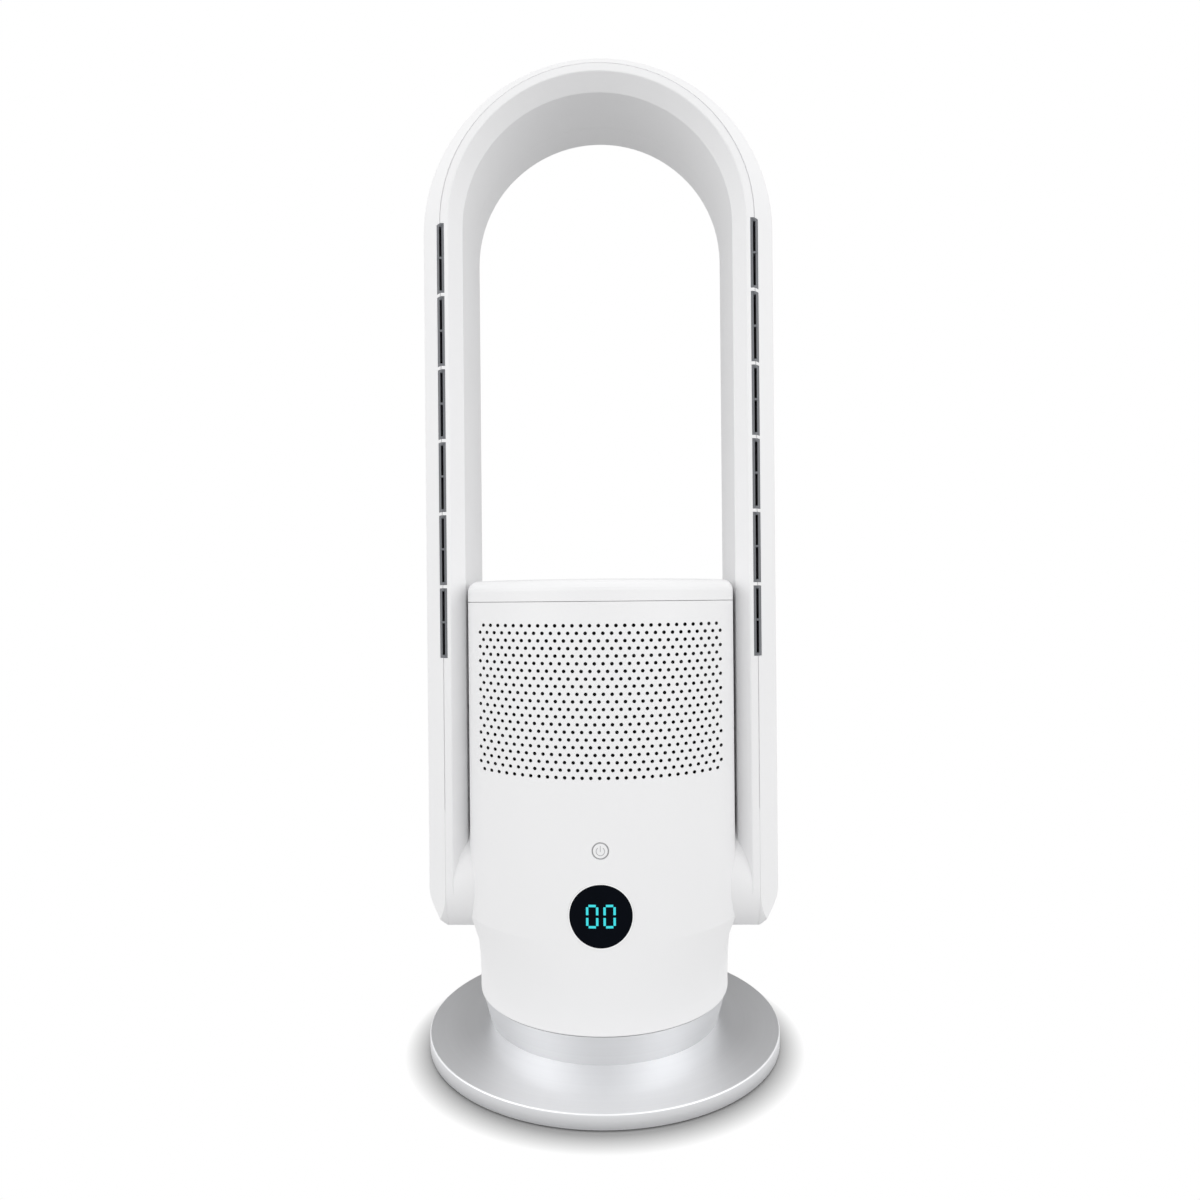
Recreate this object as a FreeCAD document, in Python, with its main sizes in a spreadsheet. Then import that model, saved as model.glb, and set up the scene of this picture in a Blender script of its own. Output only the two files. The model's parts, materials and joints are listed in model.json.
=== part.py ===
import math
import os
import re

import FreeCAD
import Part
import Sketcher
from FreeCAD import Placement, Rotation, Vector

# Air purifier fan: a turning head with a filter, a fan and a slotted hoop, on a weighted round base.
# Millimetres. Z is up, the front faces -Y, and the origin is where the base's axis meets the table.

SIZES = {
    # Base
    "base_radius": 120.0,
    "foot_height": 1.0,
    "rim_height": 10.0,
    "rim_round": 0.9,
    "neck_radius": 78.9,
    "neck_foot": 16.4,
    "neck_top_radius": 84.3,
    "neck_gap": 0.4,
    "neck_play": 0.5,
    "cover_wall": 2.5,
    "land_width": 17.0,
    "plate_thick": 2.5,
    "weight_inner": 40.0,
    "weight_outer": 92.0,
    "weight_thick": 4.5,
    "foot_radius": 8.0,
    "foot_ring": 104.0,
    "foot_recess": 1.0,
    "base_screw_ring": 108.0,
    "base_screw_turn": 15.0,
    "base_screw_gap": 0.5,
    "inlet_radius": 3.9,
    "inlet_bore": 2.75,
    "inlet_pin": 1.05,
    "inlet_length": 14.0,
    "inlet_floor": 3.0,
    # Swivel between base and head
    "neck_overlap": 1.7,
    "neck_wall": 2.5,
    "deck_lift": 8.6,
    "deck_thick": 3.0,
    "post_radius": 14.0,
    "post_bore": 10.0,
    "post_flange": 26.0,
    "post_flange_thick": 3.0,
    "post_screw_ring": 20.0,
    "post_over": 4.0,
    "ring_groove": 1.0,
    "ring_width": 5.0,
    "ring_thick": 1.2,
    "slide_inner": 58.0,
    "slide_width": 8.0,
    "slide_thick": 3.0,
    "gear_module": 1.0,
    "sun_teeth": 54.0,
    "pinion_teeth": 18.0,
    "gear_thick": 6.0,
    "pinion_thick": 5.5,
    "pinion_lift": 0.5,
    "pinion_hub": 4.5,
    "pinion_hub_height": 4.0,
    "tooth_backlash": 0.3,
    "drive_shaft_radius": 2.5,
    "drive_shaft_depth": 10.0,
    "drive_shaft_gap": 0.5,
    "table_gap": 0.5,
    "table_thick": 3.5,
    "hub_wall": 4.0,
    "hub_drop": 5.0,
    "hub_rise": 3.0,
    "bush_wall": 3.0,
    "bush_flange": 1.5,
    "bush_lip": 3.0,
    # Oscillation motor
    "stepper_radius": 14.0,
    "stepper_height": 18.0,
    "stepper_offset": 8.0,
    "stepper_ear": 17.5,
    "stepper_ear_radius": 3.5,
    "stepper_ear_thick": 1.0,
    # Fan
    "casing_radius": 70.0,
    "casing_wall": 2.2,
    "casing_lift": 21.0,
    "casing_height": 75.0,
    "casing_floor": 3.0,
    "casing_screw_inset": 7.0,
    "casing_boss_height": 12.0,
    "damper_thick": 3.0,
    "damper_radius": 4.0,
    "damper_ring": 29.5,
    "motor_flange_radius": 33.5,
    "motor_flange_thick": 2.5,
    "motor_radius": 25.5,
    "motor_height": 14.0,
    "motor_boss_radius": 6.0,
    "motor_boss_height": 2.0,
    "shaft_radius": 2.5,
    "shaft_over": 1.0,
    "impeller_gap": 2.0,
    "impeller_radius": 56.0,
    "impeller_plate": 2.0,
    "impeller_height": 45.0,
    "impeller_hub": 9.0,
    "impeller_hub_height": 14.0,
    "impeller_eye": 40.0,
    "blade_count": 11.0,
    "blade_inner": 22.0,
    "blade_inset": 1.0,
    "blade_sweep": 38.0,
    "blade_thick": 1.6,
    "nut_width": 8.0,
    "nut_thick": 4.0,
    "bell_throat": 37.0,
    "bell_wall": 2.2,
    "bell_drop": 1.8,
    "bell_plate": 3.0,
    "bell_radius": 71.5,
    "grille_thick": 2.0,
    "grille_rim": 3.0,
    "grille_bar": 1.6,
    # Body
    "body_floor": 36.5,
    "body_wall": 2.5,
    "body_round": 1.0,
    "waist_radius": 85.3,
    "waist_level": 47.0,
    "shoulder_level": 92.0,
    "body_half_width": 87.6,
    "body_edge_depth": 34.0,
    "body_half_depth": 85.0,
    "side_bulge": 0.3,
    "panel_seam": 0.1,
    "lid_floor": 300.4,
    "lid_top": 314.0,
    "lid_seam": 0.35,
    "lid_wall": 4.5,
    "lid_round": 7.0,
    "lid_lip": 4.0,
    "lid_clear": 0.4,
    "panel_boss_ring": 76.5,
    "panel_boss_height": 8.0,
    "hole_pitch": 5.345,
    "row_pitch": 4.621,
    "hole_radius": 1.15,
    "hole_rows": 21.0,
    "hole_columns": 29.0,
    "rear_columns": 27.0,
    "first_row": 285.5,
    "field_wall": 1.0,
    "field_margin": 3.0,
    # Controls
    "button_level": 149.2,
    "button_radius": 5.0,
    "button_gap": 0.25,
    "button_thick": 2.6,
    "button_flange": 6.4,
    "button_flange_thick": 1.0,
    "button_travel": 0.8,
    "button_stem": 1.8,
    "display_level": 109.5,
    "display_radius": 19.25,
    "bezel_width": 0.8,
    "bezel_proud": 0.25,
    "window_thick": 2.0,
    "board_depth": 10.0,
    "board_thick": 1.6,
    "board_half_width": 23.0,
    "board_bottom": 84.0,
    "board_top": 160.0,
    "board_screw_inset": 3.5,
    "board_post_radius": 3.0,
    "board_pilot": 4.0,
    "board_screw_grip": 3.0,
    "switch_size": 6.0,
    "switch_height": 3.5,
    "digit_width": 26.0,
    "digit_height": 20.0,
    "digit_gap": 0.6,
    "driver_width": 60.0,
    "driver_length": 26.0,
    "driver_reach": 60.0,
    "driver_stand": 5.0,
    "capacitor_radius": 5.0,
    "capacitor_height": 12.0,
    # Filter
    "filter_outer": 69.0,
    "filter_inner": 45.0,
    "filter_clear": 0.2,
    "seal_thick": 3.0,
    "filter_frame": 4.0,
    "filter_height": 140.0,
    "carbon_thick": 1.5,
    "pleat_count": 60.0,
    "pleat_depth": 16.0,
    "pleat_thick": 0.9,
    "lid_post_radius": 4.0,
    "lid_post_ring": 56.0,
    # Hoop
    "arch_level": 550.1,
    "hoop_outer": 118.5,
    "hoop_half_depth": 39.8,
    "flat_inner": 98.0,
    "groove_line": 103.2,
    "bevel_inner": 90.2,
    "bevel_depth": 11.7,
    "shoulder_depth": 20.5,
    "shoulder_round": 6.0,
    "back_inner": 89.2,
    "back_flat": 104.0,
    "back_shoulder": 17.8,
    "back_round": 8.0,
    "edge_round": 1.2,
    "hoop_wall": 2.2,
    "hoop_split": 15.5,
    "hoop_seam": 0.1,
    "groove_width": 0.7,
    "groove_depth": 0.8,
    "groove_end": 164.0,
    "leg_foot": 84.2,
    "foot_chamfer_height": 17.0,
    "foot_chamfer_width": 14.5,
    "foot_chamfer_round": 20.0,
    "slot_count": 6.0,
    "slot_width": 5.5,
    "slot_length": 46.0,
    "slot_pitch": 48.07,
    "slot_top": 550.0,
    "frame_recess": 0.25,
    "frame_clear": 0.1,
    "frame_edge": 0.45,
    "slit_width": 1.8,
    "slit_margin": 2.0,
    "funnel_depth": 1.2,
    "strip_setback": 8.0,
    "strip_thick": 2.0,
    "strip_inner": 5.2,
    "strip_outer": 3.2,
    "strip_over": 1.0,
    "rib_bite": 0.5,
    "rib_height": 1.35,
    "hoop_boss_radius": 3.6,
    "hoop_pad_radius": 4.6,
    "hoop_boss_line": 98.0,
    "hoop_boss_start": 6.0,
    "hoop_boss_gap": 6.8,
    "hoop_screw_low": 180.0,
    "hoop_screw_high": 240.0,
    # Arms that carry the hoop and pass the air
    "arm_level": 111.5,
    "arm_half_depth": 32.0,
    "arm_floor": 90.0,
    "arm_roof": 135.0,
    "arm_wall": 2.0,
    "arm_reach": 94.0,
    # Fasteners and fits
    "screw_radius": 1.5,
    "screw_head_radius": 2.8,
    "screw_head_height": 1.5,
    "screw_socket": 1.3,
    "boss_radius": 4.0,
    "fit_clear": 0.1,
    "run_clear": 0.05,
    "slide_clear": 0.1,
}

X_AXIS = Vector(1, 0, 0)
Y_AXIS = Vector(0, 1, 0)
Z_AXIS = Vector(0, 0, 1)
FAR = 1000.0
PAST = 1.0  # how far a cutter runs past what it cuts
PRESSURE_ANGLE = math.radians(20)
ROOT_DEPTH = 1.25  # of a gear tooth below its pitch circle, in modules
FLANK_STEPS = 4
GROWTH_STEPS = 10
GROWTH_POWER = 1.5  # the body leaves its waist gently and meets the lens shape at an angle
ROUND_STEPS = 6
SIDES = {"left": -1, "right": 1}

doc = FreeCAD.newDocument("air_purifier_fan")
sheet = doc.addObject("Spreadsheet::Sheet", "Sizes")
for row, (alias, number) in enumerate(SIZES.items(), start=1):
    sheet.set(f"A{row}", alias)
    sheet.set(f"B{row}", str(number))
    sheet.setAlias(f"B{row}", alias)
doc.recompute()

pieces = []


def bound(text):
    """The text as an expression on the sheet's cells."""
    return re.sub(r"[a-z_]+", lambda word: "Sizes." + word[0] if word[0] in SIZES else word[0], text)


def num(text):
    """What an expression on the sizes comes to."""
    return float(sheet.evalExpression(bound(text)))


# Heights of the stack, from the table up
PLATE_TOP = "(foot_height + plate_thick)"
NECK_TOP = "(body_floor + neck_overlap)"
NECK_SHOULDER = "(body_floor - neck_gap)"
NECK_LIP = "(waist_radius - body_wall - neck_play)"
DECK_TOP = "(neck_foot + deck_lift)"
DECK_FLOOR = f"({DECK_TOP} - deck_thick)"
POST_FLOOR = f"({DECK_FLOOR} - post_flange_thick)"
GEAR_TOP = f"({DECK_TOP} + gear_thick)"
SLIDE_TOP = f"({DECK_TOP} + slide_thick)"
TABLE_FLOOR = f"({NECK_TOP} + table_gap)"
TABLE_TOP = f"({TABLE_FLOOR} + table_thick)"
HUB_FLOOR = f"({TABLE_FLOOR} - hub_drop)"
HUB_TOP = f"({TABLE_TOP} + hub_rise)"
BUSH_TOP = f"({HUB_TOP} + bush_flange)"
RING_FLOOR = f"({BUSH_TOP} + slide_clear)"
RING_TOP = f"({RING_FLOOR} + ring_thick)"
POST_TOP = f"({RING_TOP} + post_over)"
CASING_DECK = f"({TABLE_TOP} + casing_lift)"
FLOOR_TOP = f"({CASING_DECK} + casing_floor)"
MOTOR_FLOOR = f"({FLOOR_TOP} + damper_thick)"
MOTOR_STEP = f"({MOTOR_FLOOR} + motor_flange_thick)"
MOTOR_TOP = f"({MOTOR_STEP} + motor_height)"
MOTOR_END = f"({MOTOR_TOP} + motor_boss_height)"
IMPELLER_FLOOR = f"({MOTOR_END} + impeller_gap)"
HUB_END = f"({IMPELLER_FLOOR} + impeller_hub_height)"
NUT_END = f"({HUB_END} + nut_thick)"
CASING_TOP = f"({CASING_DECK} + casing_height)"
BELL_TOP = f"({CASING_TOP} + bell_plate)"
SEAL_FLOOR = f"({BELL_TOP} + filter_clear)"
FRAME_FLOOR = f"({SEAL_FLOOR} + seal_thick)"
MEDIA_FLOOR = f"({FRAME_FLOOR} + filter_frame)"
MEDIA_TOP = f"({MEDIA_FLOOR} + filter_height)"
FRAME_TOP = f"({MEDIA_TOP} + filter_frame)"
PANEL_TOP = "(lid_floor - lid_seam)"
GEAR_DISTANCE = "(gear_module * (sun_teeth + pinion_teeth) / 2)"
BUSH_OUTER = "(post_radius + run_clear + bush_wall)"
BOARD_FACE = "(body_half_depth - board_depth)"
SWITCH_FACE = f"({BOARD_FACE} + switch_height)"
FRONT_PLANE = "(-hoop_half_depth)"


def keep(item, label):
    """Names a finished sub-part and puts it on the list of pieces."""
    item.Label = label
    pieces.append(item)
    return item


def shape_piece(label, shape):
    """A sub-part whose shape is worked out from the sizes directly."""
    item = doc.addObject("Part::Feature", label)
    item.Shape = shape
    item.Placement = shape.Placement
    return keep(item, label)


def shape_tool(name, shape):
    """A shape that is cut from or joined to a sub-part."""
    item = doc.addObject("Part::Feature", name)
    item.Shape = shape
    return item


def outline_sketch(body, name, corners):
    """A closed outline of straight lines on the body's XZ plane, each corner tied to the sizes."""
    sketch = body.newObject("Sketcher::SketchObject", name)
    plane = next(item for item in body.Origin.OriginFeatures if item.Role == "XZ_Plane")
    sketch.AttachmentSupport = (plane, "")
    sketch.MapMode = "FlatFace"
    points = [Vector(num(across), num(up), 0) for across, up in corners]
    count = len(points)
    lines = [Part.LineSegment(points[at], points[(at + 1) % count]) for at in range(count)]
    sketch.addGeometry(lines, False)
    for at in range(count):
        sketch.addConstraint(Sketcher.Constraint("Coincident", at, 2, (at + 1) % count, 1))
    for at, corner in enumerate(corners):
        for kind, text in zip(("DistanceX", "DistanceY"), corner):
            index = sketch.addConstraint(Sketcher.Constraint(kind, -1, 1, at, 1, num(text)))
            sketch.setExpression(f"Constraints[{index}]", bound(text))
    return sketch


def turned(name, corners):
    """A body turned about Z from an outline of (radius, height) corners."""
    body = doc.addObject("PartDesign::Body", name)
    sketch = outline_sketch(body, f"{name}_outline", corners)
    spin = body.newObject("PartDesign::Revolution", f"{name}_turned")
    spin.Profile = sketch
    spin.ReferenceAxis = (sketch, ["V_Axis"])
    spin.Angle = 360
    return body


def tube(name, inner, outer, low, high):
    """A plain ring about Z."""
    return turned(name, [(inner, low), (outer, low), (outer, high), (inner, high)])


def round_edges(body, radius, chosen):
    """Rounds the edges of a body that the test picks."""
    doc.recompute()
    before = body.Tip
    edges = [f"Edge{at}" for at, edge in enumerate(before.Shape.Edges, start=1) if chosen(edge)]
    rounding = body.newObject("PartDesign::Fillet", f"{body.Name}_rounding")
    rounding.Base = (before, edges)
    rounding.setExpression("Radius", bound(radius))
    body.Tip = rounding
    return body


def bar(name, radius, height, at, turn=Rotation()):
    """A cylinder whose radius, height and place are tied to the sizes."""
    item = doc.addObject("Part::Cylinder", name)
    item.setExpression("Radius", bound(radius))
    item.setExpression("Height", bound(height))
    item.Placement = Placement(Vector(), turn)
    for axis, text in zip("xyz", at):
        item.setExpression(f"Placement.Base.{axis}", bound(text))
    return item


def block(name, sizes, at):
    """A box whose sides and lowest corner are tied to the sizes."""
    item = doc.addObject("Part::Box", name)
    for side, text in zip(("Length", "Width", "Height"), sizes):
        item.setExpression(side, bound(text))
    for axis, text in zip("xyz", at):
        item.setExpression(f"Placement.Base.{axis}", bound(text))
    return item


def joined(name, items):
    """Several solids fused to one."""
    item = doc.addObject("Part::MultiFuse", name)
    item.Shapes = items
    item.Refine = True
    return item


def group(name, items):
    """Several separate solids in one sub-part."""
    item = doc.addObject("Part::Compound", name)
    item.Links = items
    return item


def cut(name, base, tools):
    """A solid with every tool taken away from it."""
    item = doc.addObject("Part::Cut", name)
    item.Base = base
    item.Tool = tools[0] if len(tools) == 1 else group(f"{name}_tools", tools)
    item.Refine = True
    return item


TO_BACK = Rotation(X_AXIS, -90)


def ring_of(radius, angles):
    """Places on a circle about Z, as pairs of expressions."""
    return [(f"{radius} * cos({angle})", f"{radius} * sin({angle})") for angle in angles]


def spots(places, level):
    """The same places as points at a height."""
    return [Vector(num(across), num(along), num(level)) for across, along in places]


def screw(seat, way, length):
    """One socket screw: its head's underside is at the seat and its shank points the given way."""
    head_height = num("screw_head_height")
    head = Part.makeCylinder(num("screw_head_radius"), head_height, seat, way * -1)
    shank = Part.makeCylinder(num("screw_radius"), length, seat, way)
    socket = Part.makeCylinder(num("screw_socket"), head_height / 2, seat - way * head_height, way)
    return head.fuse(shank).removeSplitter().cut(socket)


def screws(label, seats, way, length):
    """A set of equal screws as one sub-part."""
    return shape_piece(label, Part.makeCompound([screw(seat, way, num(length)) for seat in seats]))


SHANK_HOLE = "screw_radius + fit_clear"
HEAD_HOLE = "screw_head_radius + fit_clear"


def screw_holes(name, places, low, height, radius=SHANK_HOLE):
    """Holes along Z for the shanks or the heads of a set of screws."""
    return [bar(f"{name}_{at}", radius, height, (*place, low)) for at, place in enumerate(places)]


# Base

BASE_SCREWS = ring_of("base_screw_ring", [f"(base_screw_turn + {60 * step})" for step in range(6)])
FOOT_PLACES = ring_of("foot_ring", [60 * step for step in range(6)])
NECK_SCREWS = ring_of("(neck_radius - land_width / 2)", [45 + 90 * step for step in range(4)])
POST_SCREWS = ring_of("post_screw_ring", [30 + 120 * step for step in range(3)])
INLET_LEVEL = "((foot_height + rim_height) / 2)"


def inlet_hole(name, radius):
    """The round way through the back of the skirt for the power inlet."""
    place = ("0", "base_radius - inlet_length - fit_clear", INLET_LEVEL)
    return bar(name, radius, "inlet_length + cover_wall", place, TO_BACK)


def is_circle(edge, radius, level):
    """Whether an edge is the circle of this radius at this height."""
    box = edge.BoundBox
    near = 0.01
    return abs(box.XMax - radius) < near and abs(box.ZMin - level) < near and box.ZLength < near


def base_cover():
    land = "(neck_radius - land_width)"
    shell = turned("base_shell", [
        ("base_radius", "foot_height"),
        ("base_radius", "rim_height"),
        ("neck_radius", "neck_foot"),
        (land, "neck_foot"),
        (land, "neck_foot - cover_wall"),
        ("neck_radius", "neck_foot - cover_wall"),
        ("base_radius - cover_wall", "rim_height - cover_wall"),
        ("base_radius - cover_wall", "foot_height"),
    ])
    rim = num("base_radius"), num("rim_height")
    round_edges(shell, "rim_round", lambda edge: is_circle(edge, *rim))
    height = "rim_height - cover_wall / 2 - " + PLATE_TOP
    bosses = [bar(f"base_boss_{at}", "boss_radius", height, (*place, PLATE_TOP))
              for at, place in enumerate(BASE_SCREWS)]
    holes = screw_holes("base_pilot", BASE_SCREWS, PLATE_TOP, "rim_height - cover_wall - " + PLATE_TOP)
    holes += screw_holes("land_hole", NECK_SCREWS, "neck_foot - 2 * cover_wall", "3 * cover_wall")
    holes.append(inlet_hole("skirt_hole", "inlet_radius + fit_clear"))
    keep(cut("base_cover", joined("base_cover_solid", [shell, *bosses]), holes), "base_cover")


def base_plate():
    disc = turned("plate_disc", [
        ("0", "foot_height"),
        ("base_radius - cover_wall - fit_clear", "foot_height"),
        ("base_radius - cover_wall - fit_clear", PLATE_TOP),
        ("0", PLATE_TOP),
    ])
    recesses = [bar(f"foot_recess_{at}", "foot_radius + fit_clear", "foot_recess", (*place, "foot_height"))
                for at, place in enumerate(FOOT_PLACES)]
    notch_sizes = ("2 * inlet_radius + 4 * fit_clear", "inlet_length + cover_wall", "2 * plate_thick")
    notch_place = ("-inlet_radius - 2 * fit_clear", "base_radius - inlet_length - 2 * fit_clear", "0")
    tools = recesses + screw_holes("plate_hole", BASE_SCREWS, "0", "3 * plate_thick")
    tools += screw_holes("plate_sink", BASE_SCREWS, "foot_height", "screw_head_height", HEAD_HOLE)
    tools.append(block("inlet_notch", notch_sizes, notch_place))
    keep(cut("base_plate", disc, tools), "base_plate")


def base_fittings():
    weight = tube("base_weight", "weight_inner", "weight_outer", PLATE_TOP, PLATE_TOP + " + weight_thick")
    keep(weight, "base_weight")
    feet = [bar(f"foot_{at}", "foot_radius", "foot_height + foot_recess", (*place, "0"))
            for at, place in enumerate(FOOT_PLACES)]
    keep(group("rubber_feet", feet), "rubber_feet")
    seat = "foot_height + screw_head_height"
    length = f"rim_height - cover_wall - ({seat}) - base_screw_gap"
    screws("base_screws", spots(BASE_SCREWS, seat), Z_AXIS, length)
    start = "base_radius - inlet_length"
    body = bar("inlet_body", "inlet_radius", "inlet_length", ("0", start, INLET_LEVEL), TO_BACK)
    mouth_place = ("0", start + " + inlet_floor", INLET_LEVEL)
    mouth = bar("inlet_mouth", "inlet_bore", "inlet_length", mouth_place, TO_BACK)
    pin = bar("inlet_pin", "inlet_pin", "inlet_length - inlet_bore", ("0", start, INLET_LEVEL), TO_BACK)
    keep(joined("power_inlet", [cut("inlet_shell", body, [mouth]), pin]), "power_inlet")


def neck_collar():
    wall = "(neck_radius - neck_wall)"
    hole = "(post_radius + fit_clear)"
    land = "(neck_radius - land_width)"
    flange = "(neck_foot + cover_wall)"
    shell = turned("neck_shell", [
        ("neck_radius", "neck_foot"),
        ("neck_top_radius", NECK_SHOULDER),
        (NECK_LIP, NECK_SHOULDER),
        (NECK_LIP, NECK_TOP),
        (NECK_LIP + " - neck_wall", NECK_TOP),
        (wall, DECK_TOP),
        (hole, DECK_TOP),
        (hole, DECK_FLOOR),
        (wall, DECK_FLOOR),
        (wall, flange),
        (land, flange),
        (land, "neck_foot"),
    ])
    tools = screw_holes("neck_pilot", NECK_SCREWS, "neck_foot", "2 * cover_wall")
    tools += screw_holes("deck_hole", POST_SCREWS, DECK_FLOOR, "2 * deck_thick")
    keep(cut("neck_collar", shell, tools), "neck_collar")
    screws("neck_screws", spots(NECK_SCREWS, "neck_foot - cover_wall"), Z_AXIS, "1.8 * cover_wall")


def swivel_post():
    groove = "(post_radius - ring_groove)"
    shell = turned("post_shell", [
        ("post_bore", POST_FLOOR),
        ("post_flange", POST_FLOOR),
        ("post_flange", DECK_FLOOR),
        ("post_radius", DECK_FLOOR),
        ("post_radius", RING_FLOOR),
        (groove, RING_FLOOR),
        (groove, RING_TOP),
        ("post_radius", RING_TOP),
        ("post_radius", POST_TOP),
        ("post_bore", POST_TOP),
    ])
    holes = screw_holes("post_hole", POST_SCREWS, POST_FLOOR, "2 * deck_thick")
    keep(cut("swivel_post", shell, holes), "swivel_post")
    length = "post_flange_thick + deck_thick + gear_thick / 2"
    screws("post_screws", spots(POST_SCREWS, POST_FLOOR), Z_AXIS, length)
    ring_inner = f"{groove} + fit_clear"
    ring = tube("retaining_ring", ring_inner, f"{groove} + ring_width", RING_FLOOR, RING_TOP)
    keep(ring, "retaining_ring")
    keep(tube("slide_ring", "slide_inner", "slide_inner + slide_width", DECK_TOP, SLIDE_TOP), "slide_ring")


# Oscillation gears and the motor that drives them

STEPPER_LINE = f"({GEAR_DISTANCE} + stepper_offset)"
STEPPER_SCREWS = [(side, STEPPER_LINE) for side in ("stepper_ear", "-stepper_ear")]
CASING_SCREWS = ring_of("(casing_radius - casing_screw_inset)", [35, 145, 215, 325])
PANEL_SCREWS = ring_of("panel_boss_ring", [50, 130, 230, 310])


def involute_angle(radius, base):
    """The angle that an involute has turned through at a radius."""
    pressure = math.acos(min(1.0, base / radius))
    return math.tan(pressure) - pressure


def polar(radius, angle, level=0.0):
    return Vector(radius * math.cos(angle), radius * math.sin(angle), level)


def arc_edge(radius, start, end):
    """An arc about Z from one angle to another."""
    middle = (start + end) / 2
    return Part.Arc(polar(radius, start), polar(radius, middle), polar(radius, end)).toShape()


def gear_face(teeth, first_tooth):
    """A spur gear's outline with 20 degree involute teeth, one of them centred at the given angle."""
    module = num("gear_module")
    pitch = module * teeth / 2
    base = pitch * math.cos(PRESSURE_ANGLE)
    tip = pitch + module
    root = pitch - ROOT_DEPTH * module
    start = max(root, base)
    half = math.pi / teeth / 2 - num("tooth_backlash") / 2 / pitch + involute_angle(pitch, base)
    radii = [start + (tip - start) * step / FLANK_STEPS for step in range(FLANK_STEPS + 1)]
    flank = [(radius, half - involute_angle(radius, base)) for radius in radii]
    edges = []
    for tooth in range(teeth):
        middle = first_tooth + 2 * math.pi * tooth / teeth
        rising = [polar(radius, middle - angle) for radius, angle in flank]
        falling = [polar(radius, middle + angle) for radius, angle in reversed(flank)]
        foot_angle = flank[0][1]
        tip_angle = flank[-1][1]
        if start > root:
            edges.append(Part.makeLine(polar(root, middle - foot_angle), rising[0]))
        edges.append(through(rising))
        edges.append(arc_edge(tip, middle - tip_angle, middle + tip_angle))
        edges.append(through(falling))
        if start > root:
            edges.append(Part.makeLine(falling[-1], polar(root, middle + foot_angle)))
        next_foot = middle + 2 * math.pi / teeth - foot_angle
        edges.append(arc_edge(root, middle + foot_angle, next_foot))
    return Part.Face(Part.Wire(edges))


def through(points):
    """A smooth edge through points."""
    curve = Part.BSplineCurve()
    curve.interpolate(points)
    return curve.toShape()


def oscillation_gears():
    toward_pinion = math.pi / 2
    sun_teeth = round(num("sun_teeth"))
    pinion_teeth = round(num("pinion_teeth"))
    sun = gear_face(sun_teeth, toward_pinion).extrude(Z_AXIS * num("gear_thick"))
    sun.translate(Z_AXIS * num(DECK_TOP))
    holes = screw_holes("sun_pilot", POST_SCREWS, DECK_TOP, "gear_thick / 2 + fit_clear")
    bore = bar("sun_bore", "post_radius + fit_clear", "2 * gear_thick", ("0", "0", DECK_TOP))
    keep(cut("sun_gear", shape_tool("sun_teeth_solid", sun), [bore, *holes]), "sun_gear")

    gap_to_sun = -toward_pinion + math.pi / pinion_teeth
    pinion = gear_face(pinion_teeth, gap_to_sun).extrude(Z_AXIS * num("pinion_thick"))
    pinion.translate(Vector(0, num(GEAR_DISTANCE), num(DECK_TOP + " + pinion_lift")))
    low = DECK_TOP + " + pinion_lift"
    place = ("0", GEAR_DISTANCE, low)
    hub = bar("pinion_hub", "pinion_hub", "pinion_thick + pinion_hub_height", place)
    bore = bar("pinion_bore", "drive_shaft_radius + run_clear", "3 * pinion_thick", place)
    solid = joined("pinion_solid", [shape_tool("pinion_teeth_solid", pinion), hub])
    keep(cut("pinion", solid, [bore]), "pinion")
    length = f"{TABLE_TOP} + drive_shaft_depth - ({low})"
    keep(bar("drive_shaft", "drive_shaft_radius", length, place), "drive_shaft")


def stepper_motor():
    middle = STEPPER_LINE
    can = bar("stepper_can", "stepper_radius", "stepper_height", ("0", middle, TABLE_TOP))
    ears = [bar(f"stepper_ear_{at}", "stepper_ear_radius", "stepper_ear_thick", (place, middle, TABLE_TOP))
            for at, place in enumerate(("stepper_ear", "-stepper_ear"))]
    strap_sizes = ("2 * stepper_ear", "2 * stepper_ear_radius", "stepper_ear_thick")
    strap = block("stepper_strap", strap_sizes, ("-stepper_ear", middle + " - stepper_ear_radius", TABLE_TOP))
    bore_place = ("0", GEAR_DISTANCE, TABLE_FLOOR)
    bore_depth = "table_thick + drive_shaft_depth + fit_clear"
    bore = bar("stepper_bore", "drive_shaft_radius + run_clear", bore_depth, bore_place)
    holes = screw_holes("ear_hole", STEPPER_SCREWS, TABLE_FLOOR, "2 * table_thick")
    solid = joined("stepper_solid", [can, strap, *ears])
    keep(cut("oscillation_motor", solid, [bore, *holes]), "oscillation_motor")
    seats = spots(STEPPER_SCREWS, TABLE_TOP + " + stepper_ear_thick")
    screws("stepper_screws", seats, Z_AXIS * -1, "table_thick")


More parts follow.
